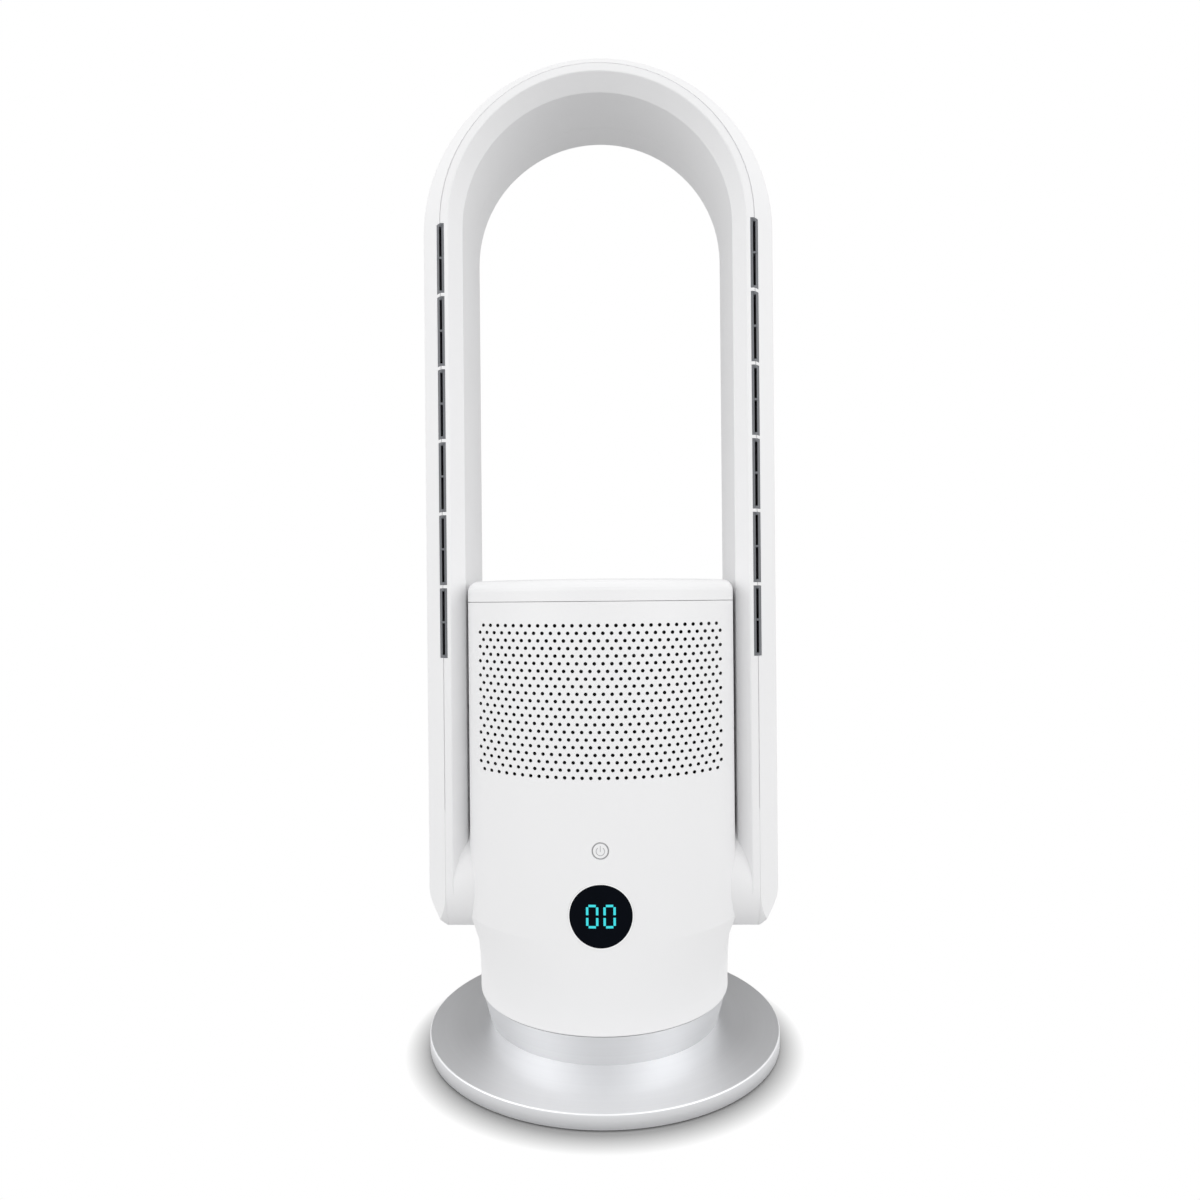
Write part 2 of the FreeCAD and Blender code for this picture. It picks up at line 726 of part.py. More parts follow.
def turntable():
    outer = "(waist_radius - body_wall - fit_clear)"
    hub = f"({BUSH_OUTER} + hub_wall)"
    bore = f"({BUSH_OUTER} + run_clear)"
    rib_floor = f"({SLIDE_TOP} + slide_clear)"
    rib_inner = "(slide_inner + fit_clear)"
    rib_outer = "(slide_inner + slide_width - fit_clear)"
    disc = turned("table_disc", [
        (bore, HUB_FLOOR),
        (hub, HUB_FLOOR),
        (hub, TABLE_FLOOR),
        (rib_inner, TABLE_FLOOR),
        (rib_inner, rib_floor),
        (rib_outer, rib_floor),
        (rib_outer, TABLE_FLOOR),
        (outer, TABLE_FLOOR),
        (outer, TABLE_TOP),
        (hub, TABLE_TOP),
        (hub, HUB_TOP),
        (bore, HUB_TOP),
    ])
    places = CASING_SCREWS + PANEL_SCREWS
    tools = screw_holes("table_hole", places, TABLE_FLOOR, "2 * table_thick")
    tools += screw_holes("table_sink", places, TABLE_FLOOR, "screw_head_height", HEAD_HOLE)
    tools += screw_holes("ear_pilot", STEPPER_SCREWS, TABLE_FLOOR, "2 * table_thick")
    shaft_place = ("0", GEAR_DISTANCE, TABLE_FLOOR)
    tools.append(bar("shaft_hole", "drive_shaft_radius + drive_shaft_gap", "2 * table_thick", shaft_place))
    keep(cut("turntable", disc, tools), "turntable")
    bush = turned("swivel_bush", [
        ("post_radius + run_clear", HUB_FLOOR),
        (BUSH_OUTER, HUB_FLOOR),
        (BUSH_OUTER, HUB_TOP),
        (f"{BUSH_OUTER} + bush_lip", HUB_TOP),
        (f"{BUSH_OUTER} + bush_lip", BUSH_TOP),
        ("post_radius + run_clear", BUSH_TOP),
    ])
    keep(bush, "swivel_bush")
    seat = TABLE_FLOOR + " + screw_head_height"
    screws("casing_screws", spots(CASING_SCREWS, seat), Z_AXIS, "table_thick + casing_boss_height / 2")
    screws("panel_screws", spots(PANEL_SCREWS, seat), Z_AXIS, "table_thick + panel_boss_height / 2")


# Fan

DAMPER_PLACES = ring_of("damper_ring", [60, 180, 300])


def arm_opening(name, clear):
    """The box that the air passes through on both sides, from the casing to the legs."""
    sizes = ("4 * arm_reach", f"2 * arm_half_depth + 2 * ({clear})", f"arm_roof - arm_floor + 2 * ({clear})")
    return block(name, sizes, ("-2 * arm_reach", f"-arm_half_depth - ({clear})", f"arm_floor - ({clear})"))


def fan_casing():
    inner = "(casing_radius - casing_wall)"
    drum = turned("casing_drum", [
        (inner, TABLE_TOP),
        ("casing_radius", TABLE_TOP),
        ("casing_radius", CASING_TOP),
        (inner, CASING_TOP),
        (inner, FLOOR_TOP),
        ("0", FLOOR_TOP),
        ("0", CASING_DECK),
        (inner, CASING_DECK),
    ])
    bosses = [bar(f"casing_boss_{at}", "casing_screw_inset", "casing_boss_height", (*place, TABLE_TOP))
              for at, place in enumerate(CASING_SCREWS)]
    tools = screw_holes("casing_pilot", CASING_SCREWS, TABLE_TOP, "casing_boss_height")
    tools += screw_holes("damper_pilot", DAMPER_PLACES, CASING_DECK, "2 * casing_floor")
    tools.append(arm_opening("casing_outlets", "fit_clear"))
    keep(cut("fan_casing", joined("casing_solid", [drum, *bosses]), tools), "fan_casing")


def fan_motor():
    bore = "(shaft_radius + run_clear)"
    body = turned("motor_body", [
        (bore, MOTOR_FLOOR),
        ("motor_flange_radius", MOTOR_FLOOR),
        ("motor_flange_radius", MOTOR_STEP),
        ("motor_radius", MOTOR_STEP),
        ("motor_radius", MOTOR_TOP),
        ("motor_boss_radius", MOTOR_TOP),
        ("motor_boss_radius", MOTOR_END),
        (bore, MOTOR_END),
    ])
    holes = screw_holes("motor_hole", DAMPER_PLACES, MOTOR_FLOOR, "2 * motor_flange_thick")
    keep(cut("fan_motor", body, holes), "fan_motor")
    pads = [bar(f"damper_{at}", "damper_radius", "damper_thick", (*place, FLOOR_TOP))
            for at, place in enumerate(DAMPER_PLACES)]
    holes = screw_holes("damper_hole", DAMPER_PLACES, FLOOR_TOP, "2 * damper_thick")
    keep(cut("motor_dampers", group("damper_pads", pads), holes), "motor_dampers")
    length = "motor_flange_thick + damper_thick + 0.8 * casing_floor"
    screws("motor_screws", spots(DAMPER_PLACES, MOTOR_STEP), Z_AXIS * -1, length)


def impeller_blade():
    """One swept blade between the back plate and the front ring."""
    inner = num("blade_inner")
    outer = num("impeller_radius - blade_inset")
    half_sweep = math.radians(num("blade_sweep")) / 2
    middle = (inner + outer) / 2
    spread = num("blade_thick") / 2
    near = [polar(inner, half_sweep + side * spread / inner) for side in (1, -1)]
    mid = [polar(middle, half_sweep / 3 + side * spread / middle) for side in (1, -1)]
    far = [polar(outer, -half_sweep + side * spread / outer) for side in (1, -1)]
    edges = [
        Part.Arc(near[0], mid[0], far[0]).toShape(),
        Part.makeLine(far[0], far[1]),
        Part.Arc(far[1], mid[1], near[1]).toShape(),
        Part.makeLine(near[1], near[0]),
    ]
    low = num(f"{IMPELLER_FLOOR} + impeller_plate / 2")
    blade = Part.Face(Part.Wire(edges)).extrude(Z_AXIS * num("impeller_height - impeller_plate"))
    blade.translate(Z_AXIS * low)
    return blade


def impeller():
    bore = "(shaft_radius + run_clear)"
    plate_top = f"({IMPELLER_FLOOR} + impeller_plate)"
    top = f"({IMPELLER_FLOOR} + impeller_height)"
    back = turned("impeller_back", [
        (bore, IMPELLER_FLOOR),
        ("impeller_radius", IMPELLER_FLOOR),
        ("impeller_radius", plate_top),
        ("impeller_hub", plate_top),
        ("impeller_hub", HUB_END),
        (bore, HUB_END),
    ])
    front = tube("impeller_ring", "impeller_eye", "impeller_radius", f"{top} - impeller_plate", top)
    count = round(num("blade_count"))
    blades = []
    for at in range(count):
        blade = impeller_blade()
        blade.rotate(Vector(), Z_AXIS, 360 * at / count)
        blades.append(shape_tool(f"blade_{at}", blade))
    keep(joined("impeller", [back, front, *blades]), "impeller")
    low = f"({MOTOR_FLOOR} + motor_flange_thick / 2)"
    length = f"{NUT_END} + shaft_over - {low}"
    keep(bar("motor_shaft", "shaft_radius", length, ("0", "0", low)), "motor_shaft")
    corners = [polar(num("nut_width") / math.sqrt(3), math.pi / 3 * side, num(HUB_END)) for side in range(6)]
    nut = Part.Face(Part.makePolygon(corners + corners[:1])).extrude(Z_AXIS * num("nut_thick"))
    hole = bar("nut_hole", "shaft_radius + run_clear", "2 * nut_thick", ("0", "0", HUB_END))
    keep(cut("impeller_nut", shape_tool("nut_solid", nut), [hole]), "impeller_nut")


def inlet():
    lip = f"({CASING_TOP} - bell_drop)"
    ring = turned("inlet_ring", [
        ("bell_throat", lip),
        ("bell_throat + bell_wall", lip),
        ("bell_throat + bell_wall", CASING_TOP),
        ("bell_radius", CASING_TOP),
        ("bell_radius", BELL_TOP),
        ("bell_throat", BELL_TOP),
    ])
    keep(ring, "inlet_ring")
    top = f"({BELL_TOP} + grille_thick)"
    rim_outer = "(bell_throat + grille_rim)"
    rims = []
    for at, share in enumerate((1, 2 / 3, 1 / 3)):
        outer = f"{rim_outer} * {share}"
        rims.append(tube(f"grille_ring_{at}", f"{outer} - grille_rim", outer, BELL_TOP, top))
    bars = []
    for at in range(4):
        spoke_sizes = ("2 * bell_throat + grille_rim", "grille_bar", "grille_thick")
        spoke = block(f"grille_bar_{at}", spoke_sizes, ("0", "0", BELL_TOP))
        angle = 45 * at
        spoke.Placement.Rotation = Rotation(Z_AXIS, angle)
        half = "(bell_throat + grille_rim / 2)"
        start_x = f"-{half} * cos({angle}) + grille_bar / 2 * sin({angle})"
        start_y = f"-{half} * sin({angle}) - grille_bar / 2 * cos({angle})"
        spoke.setExpression("Placement.Base.x", bound(start_x))
        spoke.setExpression("Placement.Base.y", bound(start_y))
        bars.append(spoke)
    keep(joined("inlet_grille", [*rims, *bars]), "inlet_grille")


# Body: a circle at the waist that grows into a lens shape


def body_outline(blend, inset, level):
    """The body's outline at a height: a circle at blend 0, the lens at blend 1, drawn in by the inset."""
    waist = num("waist_radius")
    circle = waist * math.cos(math.pi / 6), waist * math.sin(math.pi / 6), waist, waist
    half_width = num("body_half_width")
    lens = half_width, num("body_edge_depth"), num("body_half_depth"), half_width + num("side_bulge")
    corner_x, corner_y, apex, side = [low + (high - low) * blend for low, high in zip(circle, lens)]
    rise = apex - corner_y
    front_radius = (corner_x ** 2 + rise ** 2) / (2 * rise)
    front_way = Vector(corner_x, front_radius - rise, 0) / front_radius
    bulge = side - corner_x
    side_radius = (corner_y ** 2 + bulge ** 2) / (2 * bulge)
    side_way = Vector(side_radius - bulge, corner_y, 0) / side_radius
    way = (front_way + side_way).normalize()
    step = inset / way.dot(front_way)
    corner_x -= way.x * step
    corner_y -= way.y * step
    apex -= inset
    side -= inset
    stops = [
        (corner_x, -corner_y), (0, -apex), (-corner_x, -corner_y), (-side, 0),
        (-corner_x, corner_y), (0, apex), (corner_x, corner_y), (side, 0), (corner_x, -corner_y),
    ]
    points = [Vector(x, y, level) for x, y in stops]
    arcs = [Part.Arc(*points[at:at + 3]).toShape() for at in range(0, 8, 2)]
    return Part.Wire(arcs)


def prism(blend, inset, low, high):
    """A straight stretch of the body."""
    return Part.Face(body_outline(blend, inset, low)).extrude(Z_AXIS * (high - low))


def body_solid(inset, low, high, rounding=0.0):
    """The body's solid form from one height to another, drawn in by the inset, its foot rounded."""
    waist = num("waist_level")
    shoulder = num("shoulder_level")
    wires = []
    for step in range(GROWTH_STEPS + 1):
        share = step / GROWTH_STEPS
        wires.append(body_outline(share ** GROWTH_POWER, inset, waist + (shoulder - waist) * share))
    growth = Part.makeLoft(wires, True, False)
    foot = Part.makeCylinder(num("waist_radius") - inset, waist - low, Vector(0, 0, low))
    if rounding:
        rim = [edge for edge in foot.Edges if edge.BoundBox.ZMax < low + rounding]
        foot = foot.makeFillet(rounding, rim)
    return foot.fuse([growth, prism(1, inset, shoulder, high)]).removeSplitter()


def intake_holes(columns):
    """Rows of small round holes along Y in the front, each row half a step off the next."""
    pitch = num("hole_pitch")
    start = -num("body_half_depth + body_wall")
    end = -num("body_edge_depth")
    holes = []
    for row in range(round(num("hole_rows"))):
        count = columns + row % 2
        level = num("first_row") - row * num("row_pitch")
        for column in range(count):
            across = (column - (count - 1) / 2) * pitch
            holes.append(along_y(num("hole_radius"), across, start, end, level))
    return Part.makeCompound(holes)


def intake_field(columns):
    """The space behind the intake holes, where the wall is thinner so that air passes more easily."""
    margin = num("field_margin")
    half = columns * num("hole_pitch") / 2 + margin
    high = num("first_row") + margin
    low = num("first_row - (hole_rows - 1) * row_pitch") - margin
    ahead = Part.makeBox(2 * half, FAR, high - low, Vector(-half, -FAR, low))
    return prism(1, num("field_wall"), low, high).common(ahead)


def along_y(radius, across, start, end, level):
    """A cylinder along Y."""
    return Part.makeCylinder(radius, end - start, Vector(across, start, level), Y_AXIS)


BOARD_SCREW_LINE = "(board_half_width - board_screw_inset)"
BOARD_SCREWS = [(across, level)
                for across in (BOARD_SCREW_LINE, f"-{BOARD_SCREW_LINE}")
                for level in ("(board_bottom + board_screw_inset)", "(board_top - board_screw_inset)")]


def half_wall(columns):
    """One half of the body's wall, in front, with its intake holes and its share of the arms' windows."""
    columns = round(num(columns))
    low = num("body_floor")
    high = num(PANEL_TOP)
    outer = body_solid(0, low, high, num("body_round"))
    inner = body_solid(num("body_wall"), low - PAST, high + PAST)
    window = num("arm_half_depth + fit_clear")
    height = num("arm_roof - arm_floor + 2 * fit_clear")
    corner = Vector(-FAR, -window, num("arm_floor - fit_clear"))
    behind = Part.makeBox(2 * FAR, FAR, 2 * FAR, Vector(-FAR, -num("panel_seam") / 2, -FAR))
    windows = Part.makeBox(2 * FAR, 2 * window, height, corner)
    return outer.cut([inner, windows, behind, intake_field(columns)]).cut(intake_holes(columns))


def panel_bosses(inside, front):
    """Screw bosses at the foot of a panel, trimmed by the space inside the wall."""
    sign = -1 if front else 1
    radius = num("boss_radius")
    solids = []
    for spot in spots(PANEL_SCREWS, TABLE_TOP):
        if spot.y * sign > 0:
            way = Vector(spot.x, spot.y, 0).normalize()
            pad = Part.makeCylinder(radius, num("panel_boss_height"), spot)
            web = Part.makeBox(2 * radius, 2 * radius, num("panel_boss_height"), Vector(0, -radius, 0))
            web.rotate(Vector(), Z_AXIS, math.degrees(math.atan2(way.y, way.x)))
            web.translate(spot)
            boss = pad.fuse(web).common(inside)
            hole = Part.makeCylinder(num("screw_radius + fit_clear"), FAR, spot - Z_AXIS * FAR / 2)
            solids.append(boss.cut(hole))
    return solids


def front_panel(wall, inside):
    face = num(BOARD_FACE)
    posts = []
    for across, level in BOARD_SCREWS:
        post = along_y(num("board_post_radius"), num(across), -FAR, -face, num(level)).common(inside)
        pilot = along_y(num(SHANK_HOLE), num(across), -face - num("board_pilot"), -face, num(level))
        posts.append(post.cut(pilot))
    display = along_y(num("display_radius + bezel_width + fit_clear"), 0, -FAR, -face, num("display_level"))
    button = along_y(num("button_radius + button_gap"), 0, -FAR, -face, num("button_level"))
    panel = wall.cut([display, button]).fuse(posts + panel_bosses(inside, True))
    shape_piece("front_panel", panel.removeSplitter())


def rear_panel(wall, inside):
    panel = wall.mirror(Vector(), Y_AXIS).fuse(panel_bosses(inside, False))
    shape_piece("rear_panel", panel.removeSplitter())


def skin(inset_out, inset_in, low, high):
    """A curved wall that follows the body's lens shape."""
    return prism(1, inset_out, low, high).cut(prism(1, inset_in, low, high))


def controls():
    middle = num("display_level")
    reach = num("display_radius + bezel_width")
    low = middle - 2 * reach
    high = middle + 2 * reach
    back = -num(BOARD_FACE)
    disc = along_y(num("display_radius"), 0, -FAR, back, middle)
    shape_piece("display_window", skin(0, num("window_thick"), low, high).common(disc))
    opening = along_y(num("display_radius + run_clear"), 0, -FAR, back, middle)
    collar = along_y(reach, 0, -FAR, back, middle).cut(opening)
    shape_piece("display_bezel", skin(-num("bezel_proud"), num("body_wall"), low, high).common(collar))

    level = num("button_level")
    cap_zone = along_y(num("button_radius"), 0, -FAR, back, level)
    spread = 2 * num("button_flange")
    cap_wall = skin(0, num("button_thick + button_flange_thick"), level - spread, level + spread)
    cap = cap_wall.common(cap_zone)
    flange_face = -num("body_half_depth - body_wall - 3 * fit_clear - side_bulge")
    flange_end = flange_face + num("button_flange_thick")
    flange = along_y(num("button_flange"), 0, flange_face, flange_end, level)
    stem_end = -num(SWITCH_FACE + " + button_travel + fit_clear")
    stem = along_y(num("button_stem"), 0, flange_face, stem_end, level)
    cap = cap.common(Part.makeBox(2 * FAR, FAR + flange_end, 2 * FAR, Vector(-FAR, -FAR, -FAR)))
    shape_piece("power_button", cap.fuse([flange, stem]).removeSplitter())


def boards():
    width = "2 * board_half_width"
    place = ("-board_half_width", f"-{BOARD_FACE}", "board_bottom")
    sheet_piece = block("board_sheet", (width, "board_thick", "board_top - board_bottom"), place)
    holes = []
    for at, (across, level) in enumerate(BOARD_SCREWS):
        hole = along_y(num(SHANK_HOLE), num(across), -FAR, FAR, num(level))
        holes.append(shape_tool(f"board_hole_{at}", hole))
    keep(cut("control_board", sheet_piece, holes), "control_board")
    back = -num(f"{BOARD_FACE} - board_thick")
    seats = [Vector(num(across), back, num(level)) for across, level in BOARD_SCREWS]
    screws("board_screws", seats, Y_AXIS * -1, "board_thick + board_screw_grip")
    switch_place = ("-switch_size / 2", f"-{SWITCH_FACE}", "button_level - switch_size / 2")
    switch_sizes = ("switch_size", "switch_height", "switch_size")
    keep(block("button_switch", switch_sizes, switch_place), "button_switch")
    sag = "(display_radius ^ 2 / 2 / body_half_depth)"
    digit_face = f"(body_half_depth - window_thick - digit_gap - {sag})"
    digit_sizes = ("digit_width", f"{digit_face} - {BOARD_FACE}", "digit_height")
    digit_place = ("-digit_width / 2", f"-{digit_face}", "display_level - digit_height / 2")
    keep(block("digit_module", digit_sizes, digit_place), "digit_module")

    sheet_level = f"({TABLE_TOP} + driver_stand)"
    driver_place = ("-driver_width / 2", "-driver_reach", sheet_level)
    parts = [block("driver_sheet", ("driver_width", "driver_length", "board_thick"), driver_place)]
    margin = "screw_head_radius"
    corners = [(across, along)
               for across in (f"-driver_width / 2 + {margin}", f"driver_width / 2 - {margin}")
               for along in (f"-driver_reach + {margin}", f"-driver_reach + driver_length - {margin}")]
    parts += [bar(f"driver_leg_{at}", "screw_radius", "driver_stand + board_thick / 2", (*corner, TABLE_TOP))
              for at, corner in enumerate(corners)]
    middle = "-driver_reach + driver_length / 2"
    for at, across in enumerate(("-driver_width / 4", "driver_width / 4")):
        can_place = (across, middle, f"{sheet_level} + board_thick / 2")
        parts.append(bar(f"driver_can_{at}", "capacitor_radius", "capacitor_height", can_place))
    keep(joined("driver_board", parts), "driver_board")


# Lid and filter


def lid_form(inset, low):
    """The lid's form: straight sides, then a quarter round to the flat top."""
    top = num("lid_top") - inset
    radius = num("lid_round") - inset
    start = top - radius
    wires = []
    for step in range(ROUND_STEPS + 1):
        angle = math.pi / 2 * step / ROUND_STEPS
        drawn_in = inset + radius * (1 - math.cos(angle))
        wires.append(body_outline(1, drawn_in, start + radius * math.sin(angle)))
    return prism(1, inset, low, start).fuse(Part.makeLoft(wires, True, True))


def top_lid():
    floor = num("lid_floor")
    wall = num("lid_wall")
    lip_floor = floor - num("lid_lip")
    lip = prism(1, num("body_wall + lid_clear"), lip_floor, floor + PAST)
    cavity = lid_form(wall, lip_floor - PAST)
    shell = lid_form(0, floor).fuse(lip).cut(cavity)
    height = num("lid_top - lid_wall / 2") - num(FRAME_TOP)
    places = ring_of("lid_post_ring", [45 + 90 * step for step in range(4)])
    posts = [Part.makeCylinder(num("lid_post_radius"), height, spot) for spot in spots(places, FRAME_TOP)]
    shape_piece("top_lid", shell.fuse(posts).removeSplitter())


def pleat_ring(inner, outer, count):
    """A zigzag ring with its folds between two radii."""
    points = []
    for fold in range(2 * count):
        points.append(polar(outer if fold % 2 else inner, math.pi * fold / count))
    return Part.makePolygon(points + points[:1])


def filter_cartridge():
    keep(tube("filter_seal", "filter_inner", "filter_outer", SEAL_FLOOR, FRAME_FLOOR), "filter_seal")
    lower = tube("filter_lower_frame", "filter_inner", "filter_outer", FRAME_FLOOR, MEDIA_FLOOR)
    keep(lower, "filter_lower_frame")
    sleeve_outer = "(filter_outer - fit_clear)"
    sleeve_inner = f"({sleeve_outer} - carbon_thick)"
    keep(tube("carbon_sleeve", sleeve_inner, sleeve_outer, MEDIA_FLOOR, MEDIA_TOP), "carbon_sleeve")
    count = round(num("pleat_count"))
    outer = num(f"{sleeve_inner} - fit_clear")
    inner = outer - num("pleat_depth")
    thick = num("pleat_thick")
    outside = Part.Face(pleat_ring(inner, outer, count))
    fold = outside.cut(Part.Face(pleat_ring(inner - thick, outer - thick, count)))
    media = fold.extrude(Z_AXIS * num("filter_height"))
    media.translate(Z_AXIS * num(MEDIA_FLOOR))
    shape_piece("pleated_media", media.Solids[0])
    cap = turned("filter_upper_frame", [
        ("0", MEDIA_TOP),
        ("filter_outer", MEDIA_TOP),
        ("filter_outer", FRAME_TOP),
        ("0", FRAME_TOP),
    ])
    keep(cap, "filter_upper_frame")


# Hoop: one section carried up a leg, round the arch and down the other leg


def corner_arc(before, corner, after, radius):
    """The two ends and the middle of the arc that rounds a corner."""
    one = (before - corner).normalize()
    two = (after - corner).normalize()
    half = one.getAngle(two) / 2
    reach = radius / math.tan(half)
    centre = corner + (one + two).normalize() * (radius / math.sin(half))
    middle = centre + (corner - centre).normalize() * radius
    return corner + one * reach, middle, corner + two * reach


def rounded_wire(corners):
    """A closed outline of (x, y, radius) corners, with each corner rounded by its radius."""
    points = [Vector(x, y, 0) for x, y, radius in corners]
    count = len(points)
    ends = [corner_arc(points[at - 1], points[at], points[(at + 1) % count], corners[at][2])
            for at in range(count)]
    edges = []
    for at in range(count):
        start, middle, end = ends[at]
        edges.append(Part.Arc(start, middle, end).toShape())
        edges.append(Part.makeLine(end, ends[(at + 1) % count][0]))
    return Part.Wire(edges)


def hoop_section():
    front = num(FRONT_PLANE)
    back = num("hoop_half_depth")
    outer = num("hoop_outer")
    edge = num("edge_round")
    return rounded_wire([
        (num("bevel_inner"), front + num("bevel_depth"), edge),
        (num("flat_inner"), front, edge),
        (num("groove_line"), front, edge),
        (outer, front + num("shoulder_depth"), num("shoulder_round")),
        (outer, back - num("back_shoulder"), num("back_round")),
        (num("back_flat"), back, num("back_round")),
        (num("back_inner"), back, edge),
    ])


def swept_hoop(face, foot):
    """The section's solid: two legs down to the foot and the half turn of the arch."""
    centre = Vector(0, 0, num("arch_level"))
    face = face.translated(centre)
    leg = face.extrude(Z_AXIS * (foot - centre.z))
    arch = face.revolve(centre, Y_AXIS, -180)
    return leg.fuse([arch, leg.mirror(Vector(), X_AXIS)]).removeSplitter()


def foot_trim(inset):
    """What is cut off the foot of each leg: the round front and back, and the outer chamfer."""
    level = num("arm_level")
    reach = num("hoop_outer")
    radius = num("hoop_half_depth") - inset
    slab = Part.makeBox(4 * reach, 4 * reach, 2 * reach, Vector(-2 * reach, -2 * reach, level - 2 * reach))
    drum = Part.makeCylinder(radius, 4 * reach, Vector(-2 * reach, 0, level), X_AXIS)
    low = num("leg_foot")
    drop = num("foot_chamfer_height")
    width = num("foot_chamfer_width")
    slope = math.hypot(drop, width)
    lift = inset * slope / width
    near = Vector(reach - 2 * width, -2 * reach, low - drop + lift)
    bend = Vector(reach - inset, -2 * reach, low + drop + lift - inset * drop / width)
    start, middle, end = corner_arc(near, bend, bend + Z_AXIS, num("foot_chamfer_round") - inset)
    beyond = [end, Vector(reach + width, end.y, end.z), Vector(reach + width, near.y, near.z), near, start]
    outline = Part.Wire([Part.Arc(start, middle, end).toShape(), *Part.makePolygon(beyond).Edges])
    wedge = Part.Face(outline).extrude(Y_AXIS * 4 * reach)
    return [slab.cut(drum), wedge, wedge.mirror(Vector(), X_AXIS)]


def stadium(radius, low, start, end):
    """A prism along Y inside a line that runs up a leg, round the arch and down again."""
    level = num("arch_level")
    disc = Part.makeCylinder(radius, end - start, Vector(0, start, level), Y_AXIS)
    box = Part.makeBox(2 * radius, end - start, level - low, Vector(-radius, start, low))
    return disc.fuse(box)


def slot_levels():
    """The lower end of each outlet slot."""
    count = round(num("slot_count"))
    return [num("slot_top - slot_length") - at * num("slot_pitch") for at in range(count)]


def slot_boxes(side, grow, start, end):
    """The slots of one leg as boxes, made larger or smaller all round by grow."""
    width = num("slot_width") + 2 * grow
    length = num("slot_length") + 2 * grow
    across = side * num("groove_line") - width / 2
    corners = [Vector(across, start, level - grow) for level in slot_levels()]
    return [Part.makeBox(width, end - start, length, corner) for corner in corners]


def hoop_screw_places():
    """Places in X and Z of the screws that hold the rear shell."""
    line = num("hoop_boss_line")
    levels = num("hoop_screw_low"), num("hoop_screw_high")
    places = [(side * line, level) for side in (1, -1) for level in levels]
    for angle in (35, 90, 145):
        turn = math.radians(angle)
        places.append((line * math.cos(turn), num("arch_level") + line * math.sin(turn)))
    return places


def hoop():
    section = hoop_section()
    wall = num("hoop_wall")
    foot = num("leg_foot")
    split = num("hoop_split")
    front = num(FRONT_PLANE)
    solid = swept_hoop(Part.Face(section), foot).cut(foot_trim(0))
    lining = section.makeOffset2D(-wall, 2)
    cavity = swept_hoop(Part.Face(lining), foot + wall).cut(foot_trim(wall))
    window_half = num("arm_half_depth + fit_clear")
    window_low = num("arm_floor - fit_clear")
    window_height = num("arm_roof + fit_clear") - window_low
    reach = num("arm_reach")
    window = Part.makeBox(2 * reach, 2 * window_half, window_height, Vector(-reach, -window_half, window_low))
    groove_half = num("groove_width") / 2
    line = num("groove_line")
    low = num("groove_end")
    depth = front + num("groove_depth")
    groove_core = stadium(line - groove_half, low - PAST, front - 2 * PAST, depth + PAST)
    groove = stadium(line + groove_half, low, front - PAST, depth).cut(groove_core)
    slots = [box for side in SIDES.values() for box in slot_boxes(side, 0, front - PAST, 0)]
    wall_solid = solid.cut([cavity, window, groove, *slots])

    seam = num("hoop_seam") / 2
    ahead = Part.makeBox(2 * FAR, FAR + split - seam, 2 * FAR, Vector(-FAR, -FAR, -FAR))
    behind = Part.makeBox(2 * FAR, FAR, 2 * FAR, Vector(-FAR, split + seam, -FAR))
    inside = stadium(line - seam, -FAR, -FAR, FAR)
    beyond = stadium(line + seam, -FAR, -FAR, FAR)
    ahead_wall = wall_solid.common(ahead)
    inner = ahead_wall.common(inside)
    outer = ahead_wall.cut(beyond)
    rear = wall_solid.common(behind)

    boss_start = front + num("hoop_boss_start")
    boss_end = num("hoop_half_depth - hoop_boss_gap")
    pad_end = num("hoop_half_depth - hoop_wall / 2")
    pad_radius = num("hoop_pad_radius")
    boss_radius = num("hoop_boss_radius")
    head_seat = num("hoop_half_depth - screw_head_height - hoop_wall / 2")
    bosses, pads, pilots, sinks, seats = [], [], [], [], []
    for across, level in hoop_screw_places():
        bosses.append(along_y(boss_radius, across, boss_start, boss_end, level).common(inside))
        pads.append(along_y(pad_radius, across, boss_end, pad_end, level))
        pilots.append(along_y(num(SHANK_HOLE), across, 0, FAR, level))
        sinks.append(along_y(num(HEAD_HOLE), across, head_seat, FAR, level))
        seats.append(Vector(across, head_seat, level))
    shape_piece("hoop_inner_shell", inner.fuse(bosses).cut(pilots).removeSplitter())
    shape_piece("hoop_outer_shell", outer)
    shape_piece("hoop_rear_shell", rear.fuse(pads).cut(pilots + sinks).removeSplitter())
    screws("hoop_screws", seats, Y_AXIS * -1, "3 * hoop_boss_gap")
    return solid


